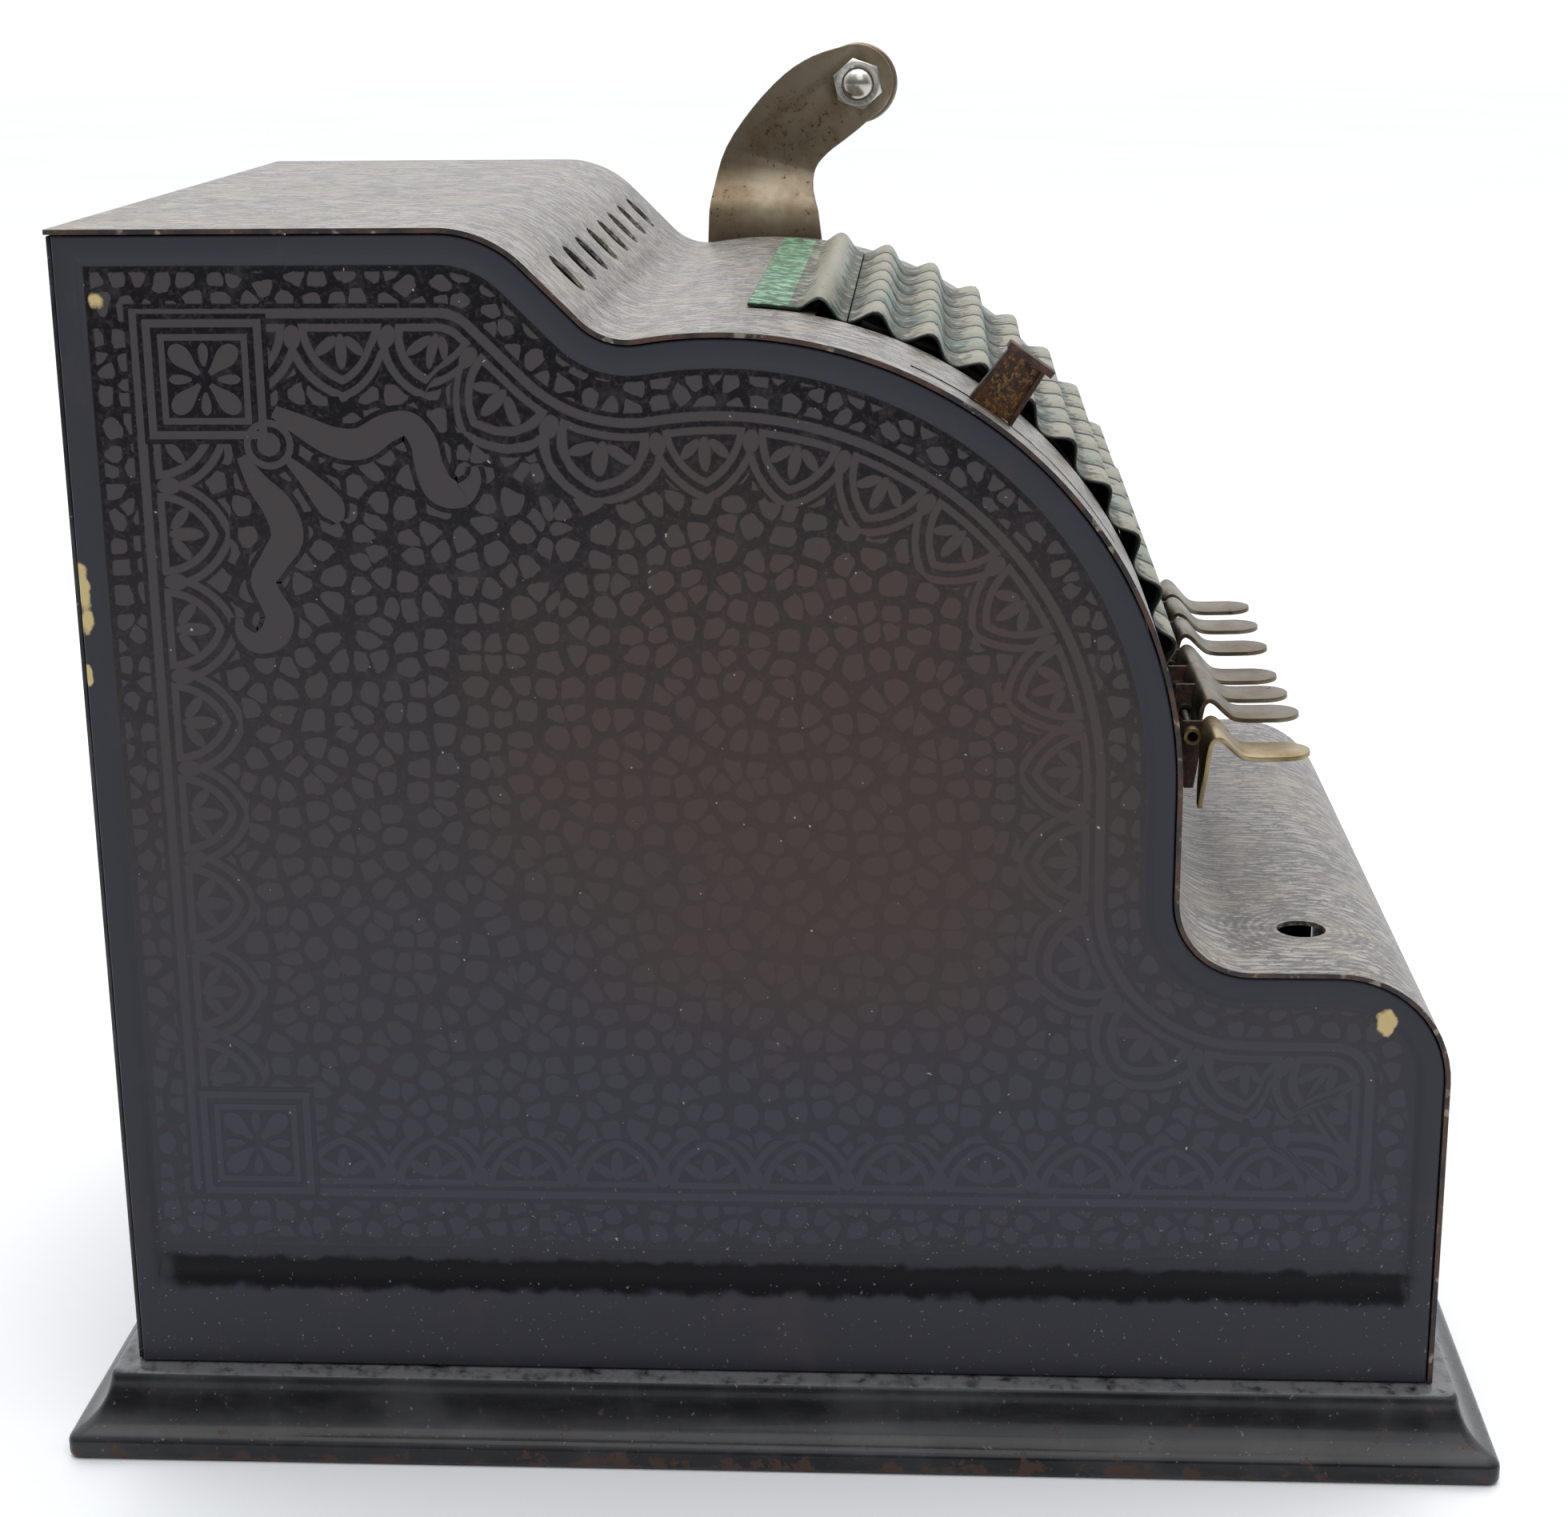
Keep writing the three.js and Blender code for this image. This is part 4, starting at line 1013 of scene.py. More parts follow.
class Finishes:
    """All the materials, each made once."""

    def __init__(self) -> None:
        """Makes every material."""
        chips = (
            (130.5, 246.8, 2.0, 2.6),
            (137.8, 187.0, 2.2, 8.0),
            (138.2, 171.5, 1.2, 2.4),
            (-126.6, 98.4, 2.4, 3.4),
        )
        self.panels = {
            Side.LEFT: PanelEnamel(spots=chips).material(),
            Side.RIGHT: PanelEnamel().material(),
        }
        self.inlay = PanelEnamel().material(inlay=1)
        self.inlay_ground = PanelEnamel().material(inlay=0)
        self.plinth = BlackEnamel(
            name="plinth_enamel",
            base=srgb(8, 8, 13),
            dust=srgb(120, 120, 122),
            dusting=0.08,
            gloss=0.16,
            ledge=16.1,
        ).material()
        self.back = BlackEnamel(
            name="back_enamel", base=srgb(21, 21, 26), dusting=0.06, gloss=0.3
        ).material()
        self.cover = CoverEnamel().material()
        self.worn_edge = WornEdge().material()
        self.slides = [
            GreenEnamel(name="green_worn", wear=0.34).material(),
            GreenEnamel(name="green_fresh", wear=0.08).material(),
            GreenEnamel(name="green_dusty", wear=0.24).material(),
        ]
        # The strips' side faces: a darker green, partly grime and partly painted shade of the gaps between
        # strips.
        self.slide_edge = GreenEnamel(
            name="green_edge_grime_and_shade",
            wear=-0.4,
            paint=srgb(28, 38, 32),
            mint=srgb(52, 92, 72),
            cream=srgb(90, 92, 78),
        ).material()
        self.top_plate = GreenEnamel(
            name="green_plate",
            wear=-0.2,
            paint=srgb(96, 146, 110),
            mint=srgb(122, 168, 132),
            cream=srgb(190, 196, 176),
            seamed=False,
        ).material()
        self.top_ridge = GreenEnamel(name="green_ridge", wear=0.34, seamed=False).material()
        self.crank = Nickel(
            name="crank_nickel",
            plate=srgb(140, 130, 114),
            haze=srgb(104, 84, 56),
            hazing=0.65,
            stain=(2.0, 268.0, 24.0),
            spotting=0.3,
            roughness=0.34,
        ).material()
        self.bright = Nickel(
            name="bright_nickel", plate=srgb(196, 192, 184), hazing=0.25, spotting=0.0, roughness=0.16
        ).material()
        self.keys = Nickel(
            name="key_nickel", plate=srgb(106, 98, 84), haze=srgb(80, 64, 44), hazing=0.65, spotting=0.25
        ).material()
        self.brassy = Nickel(
            name="brassy_nickel",
            plate=srgb(156, 142, 112),
            haze=srgb(112, 92, 58),
            hazing=0.8,
            spotting=0.25,
        ).material()
        self.steel = Steel().material()
        self.rust = Rust().material()
        self.rust_dark = Rust(name="dark_rust", brown=srgb(66, 44, 36), pale=srgb(92, 66, 50)).material()
        self.dial = DialPaint().material()
        self.ink = DialInk().material()
        self.wood = GripWood().material()


# ---- the machine's lines -----------------------------------------------------------------


@dataclass(frozen=True)
class CaseLine:
    """The side view of the case: straight runs and arcs that touch each other."""

    back: float = 140.0
    front: float = -140.0
    top: float = 260.5
    foot: float = 16.7
    shaft: Point = (9.6, 147.5)
    boss: float = 92.8
    valley: tuple[float, float, float] = (26.71, 251.50, 12.6)
    valley_theta: float = -9.34
    shoulder: tuple[float, float, float] = (63.63, 236.1, 24.4)
    fillet: tuple[float, float, float] = (-98.3, 124.5, 15.1)
    lip: tuple[float, float, float] = (-115.9, 85.3, 24.1)

    def polar(self, radius: float, theta: float) -> Point:
        """A place at a radius and theta from the main shaft."""
        a = math.radians(theta)
        return self.shaft[0] - radius * math.sin(a), self.shaft[1] + radius * math.cos(a)

    @staticmethod
    def arc(y: float, z: float, radius: float, start: float, end: float, steps: int) -> list[Point]:
        """Places along an arc, angles in degrees from +Y towards +Z."""
        angles = [math.radians(start + (end - start) * i / steps) for i in range(steps + 1)]
        return [(y + radius * math.cos(a), z + radius * math.sin(a)) for a in angles]

    def round_corner(
        self, corner: tuple[float, float, float], inset: float, start: float, end: float
    ) -> list[Point]:
        """An outside corner's arc, or the sharp corner it shrinks to when the inset passes its middle."""
        y, z, radius = corner
        steps = 14
        if inset < radius:
            return self.arc(y, z, radius - inset, start, end, steps)
        half = math.radians(abs(end - start) / 2)
        middle = math.radians((start + end) / 2)
        back = (inset - radius) / math.cos(half)
        return [(y - back * math.cos(middle), z - back * math.sin(middle))] * (steps + 1)

    def upper(self, inset: float) -> list[Point]:
        """The line over the top, from the back corner to the front edge above the foot."""
        vy, vz, valley = self.valley
        fy, fz, fillet = self.fillet
        first = self.valley_theta
        boss = [self.polar(self.boss - inset, first + (90 - first) * i / 56) for i in range(57)]
        return [
            (self.back, self.top - inset),
            *self.round_corner(self.shoulder, inset, 90, 135),
            *self.arc(vy, vz, valley + inset, -45, self.valley_theta - 90, 10),
            *boss[1:],
            *self.arc(fy, fz, fillet + inset, 0, -90, 12),
            *self.round_corner(self.lip, inset, 90, 180),
            (self.front + inset, self.foot),
        ]

    def loop(self, inset: float, low: float) -> list[Point]:
        """The whole outline moved inwards, with its lower edge at a height of its own."""
        over = self.upper(inset)
        near = low + 5
        front, back = self.front + inset, self.back - inset
        head = [(back, over[0][1]), (104.0, over[0][1]), (84.0, over[0][1])]
        foot = [(y, low) for y in (front, -104.0, -60.0, 60.0, 104.0, back)]
        rear = [(back, z) for z in (near, 84.0, 160.0, 225.0)]
        return [*head, *over[1:-1], (front, near), *foot, *rear]


LINE = CaseLine()


def ring_at(loop: Sequence[Point], xs: Sequence[float]) -> list[Vector]:
    """A loop of the Y-Z plane set at each point's own X."""
    return [Vector((x, y, z)) for x, (y, z) in zip(xs, loop)]


# ---- casing ------------------------------------------------------------------------------


@dataclass
class SidePanel:
    """A pressed side panel: a raised rim, a sunk etched field and a cove above a plain skirt."""

    side: Side
    finishes: Finishes
    half_width: float = 98.5
    field_depth: float = 0.8
    thick: float = 2.2
    border_line: float = 17.0
    border_low: float = 56.0
    shaft_hole: float = 7.6
    inside_map: Point = (40.0, 99.0)

    def rings(self) -> list[tuple[float, float, float, float]]:
        """Rings as (inset, lower edge, depth, depth along the lower edge)."""
        field = self.field_depth
        return [
            (1.35, 16.8, self.thick, self.thick),
            (1.35, 16.8, 0.5, 0.3),
            (1.6, 17.0, 0.15, 0.08),
            (2.1, 17.4, 0.0, 0.0),
            (4.9, 34.0, 0.0, 0.0),
            (5.5, 35.2, 0.08, 0.35),
            (6.0, 36.6, 0.3, 0.95),
            (6.5, 38.6, 0.55, 1.3),
            (7.0, 40.6, 0.7, 1.28),
            (7.4, 42.2, 0.78, 1.0),
            (7.8, 43.3, field, field),
            (self.border_line, self.border_low, field, field),
            (32.6, 70.5, field, field),
        ]

    def build(self) -> bpy.types.Object:
        """Builds the panel with its border map and dresses it."""
        sign = self.side.value
        loops, mapped = [], []
        along = self.lengths()
        for inset, low, depth, low_depth in self.rings():
            loop = LINE.loop(inset, low)
            depths = [low_depth if z < low + 1 else depth for _, z in loop]
            loops.append(ring_at(loop, [sign * (self.half_width - d) for d in depths]))
            mapped.append([(u, inset if z > low + 1 else inset - 2) for u, (_, z) in zip(along, loop)])
        name = f"{self.side.name.lower()}_panel_skin"
        panel = lofted(name, loops)
        self.map_border(panel, mapped)
        tidy_normals(panel)
        if self.side is Side.RIGHT:
            start, end, radius = self.half_width - 8.5, self.half_width + 3.5, self.shaft_hole
            line = [(start, 0), (start, radius), (end, radius), (end, 0)]
            cut_by(panel, spun("drill", line, *LINE.shaft))
        smoothed(dress(panel, self.finishes.panels[self.side]), 30)
        return place_on(panel, "case", "side_enamel", f"{self.side.name.lower()}_side_panel")

    def lengths(self) -> list[float]:
        """How far along the border line each point of a loop lies, from the top back corner."""
        loop = LINE.loop(self.border_line, self.border_low)
        lengths, total = [0.0], 0.0
        for (y0, z0), (y1, z1) in zip(loop, loop[1:]):
            total += math.hypot(y1 - y0, z1 - z0)
            lengths.append(total)
        return lengths

    def map_border(self, panel: bpy.types.Object, mapped: list[list[Point]]) -> None:
        """Maps each face to the distance along the border and the distance in from the edge."""
        count = len(mapped[0])
        loop = LINE.loop(self.border_line, self.border_low)
        (y0, z0), (y1, z1) = loop[-1], loop[0]
        total = mapped[0][-1][0] + math.hypot(y1 - y0, z1 - z0)
        layer = panel.data.uv_layers.new(name="border")
        for face in panel.data.polygons:
            columns = [panel.data.loops[i].vertex_index % count for i in face.loop_indices]
            wraps = len(columns) == 4 and 0 in columns and count - 1 in columns
            for index, column in zip(face.loop_indices, columns):
                ring = panel.data.loops[index].vertex_index // count
                u, v = mapped[ring][column]
                if len(columns) > 4:
                    u, v = self.inside_map
                elif wraps and column == 0:
                    u = total
                layer.data[index].uv = (u * MM, v * MM)


@dataclass
class CornerOrnament:
    """Inlaid corner squares, rings and scrolls of a side panel's border."""

    side: Side
    finishes: Finishes
    plane: float = 97.7
    ground: float = 0.05
    figure: float = 0.11
    sunk: float = 0.2
    ring_middle: Point = (98.4, 218.4)
    top_square: Point = (110.3, 231.3)
    bottom_square: Point = (110.3, 68.5)
    square_half: float = 11.8

    def build(self) -> None:
        """Builds the ornaments of the top and bottom corners at the back."""
        upper = self.square(*self.top_square) + self.scroll()
        lower = self.square(*self.bottom_square)
        grounds = [piece for piece, raised in upper + lower if not raised]
        figures = [piece for piece, raised in upper + lower if raised]
        word = self.side.name.lower()
        for name, pieces, material in (
            (f"{word}_ornament_ground", grounds, self.finishes.inlay_ground),
            (f"{word}_ornament_figure", figures, self.finishes.inlay),
        ):
            whole = tidy_normals(merged(name, *pieces))
            place_on(smoothed(dress(whole, material)), "case", "side_enamel")

    def flat(self, outline: Sequence[Point], proud: float, hole: Sequence[Point] = ()) -> bpy.types.Object:
        """A thin flat figure on the panel, with a hole of as many points if one is given."""
        sign = self.side.value
        inner, outer = sign * (self.plane - self.sunk), sign * (self.plane + proud)
        if not hole:
            return extruded("figure", [(inner, y, z) for y, z in outline], (outer - inner, 0, 0))
        loops = [(outline, inner), (outline, outer), (hole, outer), (hole, inner)]
        rings = [[Vector((x, y, z)) for y, z in loop] for loop, x in loops]
        piece = lofted("figure", rings + [rings[0]])
        delete_faces(piece, lambda face: len(face.verts) > 4 or face.calc_area() < 1e-12)
        return piece

    def ribbon(
        self, path: Sequence[tuple[float, float, float]], proud: float, grow: float = 0.0
    ) -> bpy.types.Object:
        """A flat band along a smooth path of (y, z, half width)."""
        dense = self.smooth_path(path)
        sign = self.side.value
        inner, outer = sign * (self.plane - self.sunk), sign * (self.plane + proud)
        loops = []
        for i, (y, z, half) in enumerate(dense):
            ahead, behind = dense[min(i + 1, len(dense) - 1)], dense[max(i - 1, 0)]
            dy, dz = ahead[0] - behind[0], ahead[1] - behind[1]
            shift = (half + grow) / (math.hypot(dy, dz) or 1.0)
            one, other = (y - dz * shift, z + dy * shift), (y + dz * shift, z - dy * shift)
            corners = ((inner, one), (outer, one), (outer, other), (inner, other))
            loops.append([Vector((x, *spot)) for x, spot in corners])
        return tidy_normals(lofted("figure", loops))

    @staticmethod
    def smooth_path(path: Sequence[tuple[float, float, float]]) -> list[tuple[float, float, float]]:
        """A Catmull-Rom curve through the path's points."""
        dense = []
        spots = [path[0], *path, path[-1]]
        for a, b, c, d in zip(spots, spots[1:], spots[2:], spots[3:]):
            for step in range(6):
                t = step / 6
                dense.append(
                    tuple(
                        0.5
                        * (
                            2 * q
                            + (r - p) * t
                            + (2 * p - 5 * q + 4 * r - s) * t**2
                            + (3 * q - p - 3 * r + s) * t**3
                        )
                        for p, q, r, s in zip(a, b, c, d)
                    )
                )
        return [*dense, tuple(path[-1])]

    def box_ring(self, y: float, z: float, half: float, wide: float) -> bpy.types.Object:
        """A square frame."""
        outer = [(y + half * a, z + half * b) for a, b in SQUARE_CORNERS]
        inner = [(y + (half - wide) * a, z + (half - wide) * b) for a, b in SQUARE_CORNERS]
        return self.flat(outer, self.figure, inner)

    def square(self, y: float, z: float) -> list[tuple[bpy.types.Object, bool]]:
        """A corner square: two frames round a cross of leaves."""
        half = self.square_half
        around = [(y + (half + 1) * a, z + (half + 1) * b) for a, b in SQUARE_CORNERS]
        ground = self.flat(around, self.ground)
        figures = [self.box_ring(y, z, half, 1.6), self.box_ring(y, z, half - 2.9, 1.3)]
        leaves = (
            ((45, 135, 225, 315), ((1.5, 0.5), (3.0, 0.9), (6.2, 2.0), (8.4, 1.5), (9.2, 0.3))),
            ((0, 90, 180, 270), ((2.6, 0.3), (4.4, 0.9), (6.2, 0.9), (7.1, 0.2))),
        )
        for turns, widths in leaves:
            for a in map(math.radians, turns):
                ray = [(y + r * math.cos(a), z + r * math.sin(a), w) for r, w in widths]
                figures.append(self.ribbon(ray, self.figure))
        return [(ground, False), *((figure, True) for figure in figures)]

    def scroll(self) -> list[tuple[bpy.types.Object, bool]]:
        """Two leafy scrolls and a ring that spring from the top corner square's inner corner."""
        forward = [
            (97.0, 225.0, 1.0), (91.5, 222.0, 2.0), (85.5, 219.0, 2.7), (80.0, 218.6, 2.9),
            (75.0, 221.5, 2.6), (70.5, 222.5, 2.2), (67.6, 219.0, 2.4), (66.6, 214.0, 2.6),
            (64.6, 209.6, 2.9), (60.6, 208.4, 2.3), (57.8, 211.2, 1.2), (57.6, 214.0, 0.4),
        ]
        down = [
            (104.0, 216.0, 0.8), (101.0, 210.5, 2.0), (97.2, 205.5, 2.9), (95.8, 200.0, 3.0),
            (98.6, 195.2, 2.6), (101.2, 191.0, 2.3), (99.8, 187.0, 2.3), (98.4, 183.4, 2.7),
            (99.8, 179.6, 2.7), (103.6, 178.2, 1.9), (106.4, 180.6, 1.0), (106.6, 183.2, 0.4),
        ]
        leaf = [(95.0, 215.5, 0.5), (91.0, 211.5, 1.5), (86.6, 206.0, 2.4), (85.0, 203.0, 0.6)]
        made: list[tuple[bpy.types.Object, bool]] = []
        for path in (forward, down, leaf):
            made.append((self.ribbon(path, self.ground, 1.3), False))
            made.append((self.ribbon(path, self.figure, 0.25), True))
        hoop, bore, pad, pip = (self.circle(*size) for size in ((5.0, 20), (3.6, 20), (6.2, 20), (2.4, 12)))
        step = 0.02
        made.append((self.flat(pad, self.ground - step), False))
        made.append((self.flat(hoop, self.figure - step, bore), True))
        made.append((self.flat(pip, self.figure - step), True))
        return made

    def circle(self, radius: float, steps: int) -> list[Point]:
        """A circle round the middle of the scrolls' ring."""
        y, z = self.ring_middle
        angles = [2 * math.pi * i / steps for i in range(steps)]
        return [(y + radius * math.cos(a), z + radius * math.sin(a)) for a in angles]


@dataclass
class TopCover:
    """The one sheet that wraps over the case, with its openings."""

    finishes: Finishes
    half_width: float = 98.5
    sheet: float = 1.0
    keyboard: Point = (-58.7, 85.0)
    opening_theta: float = 11.0
    opening_foot: float = 117.5
    notch_wide: float = 2.4
    notch_z: Point = (136.0, 151.5)
    window: Point = (41.80, 248.78)
    window_halves: Point = (4.0, 5.0)
    dish_halves: tuple[float, float, float] = (6.6, 8.0, 1.3)
    dish_lift: float = 0.78
    first_window: float = FIRST_WINDOW_X
    pitch: float = COLUMN_PITCH
    windows: int = COLUMNS + 1
    slot: tuple[float, float, float, float] = (-88.6, -86.4, 24.0, 58.0)
    hole: tuple[float, float, float] = (-71.3, -111.8, 5.2)

    def build(self) -> bpy.types.Object:
        """Builds the cover, cuts it and dresses it."""
        line = [*LINE.upper(0), *LINE.upper(self.sheet)[::-1]]
        outline = [(-self.half_width, y, z) for y, z in line]
        cover = extruded("cover_skin", outline, (2 * self.half_width, 0, 0))
        cut_by(cover, *self.cutters())
        self.rub_edges(cover)
        smoothed(cover, 40)
        dress(cover, self.finishes.cover, self.finishes.worn_edge)
        return place_on(cover, "case", "cover_enamel", "top_cover")

    def cutters(self) -> list[bpy.types.Object]:
        """The tools for the keyboard, right key bracket, lever slot, shelf hole and windows."""
        wall = LINE.shaft[0] - LINE.boss
        reach = 9
        span = 90 - self.opening_theta
        outer = [LINE.polar(LINE.boss + reach, self.opening_theta + span * i / 12) for i in range(13)]
        inner = [LINE.polar(LINE.boss - reach, 90 - span * i / 12) for i in range(13)]
        feet = [(wall - reach, self.opening_foot), (wall + reach, self.opening_foot)]
        sides = [*outer, *feet, *inner]
        left, right = self.keyboard
        tools = [extruded("tool", [(left, y, z) for y, z in sides], (right - left, 0, 0))]
        x = right - FITTING_GAP
        low, high = self.notch_z
        notch = [(x, wall - 5, low), (x, wall + 5, low), (x, wall + 5, high), (x, wall - 5, high)]
        tools.append(extruded("tool", notch, (self.notch_wide, 0, 0)))
        x0, x1, start, end = self.slot
        slot = [LINE.polar(LINE.boss - 5, start + (end - start) * i / 8) for i in range(9)]
        slot += [LINE.polar(LINE.boss + 5, end + (start - end) * i / 8) for i in range(9)]
        tools.append(extruded("tool", [(x0, y, z) for y, z in slot], (x1 - x0, 0, 0)))
        hole_x, hole_y, radius = self.hole
        shelf = LINE.lip[1] + LINE.lip[2]
        tools.append(self.oval((hole_x, hole_y, shelf), (radius, radius), 6.0, 0.0))
        for i in range(self.windows):
            middle = (self.first_window + self.pitch * i, *self.window)
            tools += [self.dish(middle), self.oval(middle, self.window_halves, 5.0, math.pi / 4)]
        return tools

    @staticmethod
    def oval(middle: Sequence[float], halves: Point, deep: float, tilt: float) -> bpy.types.Object:
        """An oval drill through the sheet, tilted about X."""
        bpy.ops.object.select_all(action="DESELECT")
        bpy.ops.mesh.primitive_cylinder_add(
            vertices=40, radius=1, depth=2, location=[v * MM for v in middle], rotation=(tilt, 0, 0)
        )
        tool = bpy.context.view_layer.objects.active
        tool.scale = (halves[0] * MM, halves[1] * MM, deep * MM)
        return settle(tool)

    def dish(self, middle: Sequence[float]) -> bpy.types.Object:
        """A shallow lens that dishes the sheet round a window."""
        lift = self.dish_lift / math.sqrt(2)
        place = (middle[0], middle[1] - lift, middle[2] + lift)
        bpy.ops.object.select_all(action="DESELECT")
        bpy.ops.mesh.primitive_uv_sphere_add(
            segments=40,
            ring_count=20,
            radius=1,
            location=[v * MM for v in place],
            rotation=(math.pi / 4, 0, 0),
        )
        tool = bpy.context.view_layer.objects.active
        tool.scale = [half * MM for half in self.dish_halves]
        return settle(tool)

    def rub_edges(self, cover: bpy.types.Object) -> None:
        """Gives the sheet's cut edges along both sides the worn finish."""
        edge = self.half_width - 0.01
        for face in cover.data.polygons:
            middle = face.center / MM
            face.material_index = int(abs(middle.x) > edge or middle.z < LINE.foot + 0.1)


@dataclass
class Plinth:
    """The ogee base moulding, carried round the case with mitred, slightly rounded corners."""

    finishes: Finishes
    half_x: float = 98.5
    half_y: float = 140.0
    inside: float = 8.0
    corner: float = 2.5
    corner_steps: int = 6
    flare: float = 13.0
    height: float = 16.4

    def profile(self) -> list[Point]:
        """The moulding as (out, height), from the top ledge down to the floor."""
        shares = [
            (0.0, 1.0), (0.26, 1.0), (0.33, 0.99), (0.37, 0.962), (0.39, 0.92), (0.405, 0.86),
            (0.425, 0.79), (0.455, 0.71), (0.495, 0.63), (0.545, 0.555), (0.61, 0.485),
            (0.69, 0.425), (0.78, 0.375), (0.87, 0.335), (0.94, 0.305), (0.985, 0.27),
            (1.0, 0.225), (1.0, 0.06), (0.985, 0.02), (0.95, 0.0),
        ]
        return [(out * self.flare, z * self.height) for out, z in shares]

    def ring(self, out: float, z: float) -> list[Vector]:
        """A rounded rectangle at one point of the profile."""
        places = []
        for quarter, (sx, sy) in enumerate(SQUARE_CORNERS):
            for step in range(self.corner_steps + 1):
                a = math.radians(90 * (quarter + step / self.corner_steps))
                x = sx * (self.half_x + out - self.corner) + self.corner * math.cos(a)
                y = sy * (self.half_y + out - self.corner) + self.corner * math.sin(a)
                places.append(Vector((x, y, z)))
        return places

    def build(self) -> bpy.types.Object:
        """Builds the moulding and dresses it."""
        profile = [(-self.inside, self.height), *self.profile(), (-self.inside, 0.0)]
        rings = [self.ring(out, z) for out, z in profile]
        plinth = lofted("plinth_moulding", [*rings, rings[0]])
        delete_faces(plinth, lambda face: len(face.verts) > 4)
        tidy_normals(plinth)
        smoothed(dress(plinth, self.finishes.plinth), 40)
        return place_on(plinth, "case", "plinth_enamel", "base_plinth")


@dataclass
class BackPanel:
    """The flat back sheet with its four slotted screws, and the bottom sheet."""

    finishes: Finishes
    screws: int = 4
    turn: float = 35.0

    def build(self) -> None:
        """Builds both sheets and the screws."""
        sheet = dress(from_node("back_panel", "back_sheet", edge=0.3), self.finishes.back)
        place_on(sheet, "case", "side_enamel", "back_panel")
        bottom = dress(from_node("bottom_plate", "bottom_sheet", edge=0.2), self.finishes.back)
        place_on(bottom, "case", "dark_steel", "bottom_plate")
        for i in range(1, self.screws + 1):
            low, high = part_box(f"back_screw_{i}")
            middle = (low + high) / 2 / MM
            place = (middle.x, high.y / MM, middle.z)
            self.screw(f"back_screw_head_{i}", place, f"back_screw_{i}", self.turn * i)

    def screw(self, name: str, place: tuple[float, float, float], node: str, turn: float) -> None:
        """One round-headed screw.

        Args:
            name: The new piece's name.
            place: The top of its head, in millimetres.
            node: The CAD node that it stands for.
            turn: How far its slot is turned, in degrees.
        """
        profile = [
            (0.0, 0.0), (-0.12, 1.2), (-0.55, 2.2), (-1.15, 2.9), (-1.9, 3.2),
            (-1.9, 1.5), (-8.9, 1.5), (-8.9, 0.0),
        ]
        head = spun(name, profile, 0, 0, 28)
        bar = [(-1.0, -4, -0.4), (-1.0, 4, -0.4), (-1.0, 4, 0.4), (-1.0, -4, 0.4)]
        slot = extruded("tool", bar, (2, 0, 0))
        slot.data.transform(Matrix.Rotation(math.radians(turn), 4, "X"))
        cut_by(head, slot)
        turned = Matrix.Rotation(math.pi / 2, 4, "Z")
        head.data.transform(Matrix.Translation([value * MM for value in place]) @ turned)
        smoothed(dress(head, self.finishes.steel))
        place_on(head, "case", "dark_steel", node)


# ---- keyboard ----------------------------------------------------------------------------


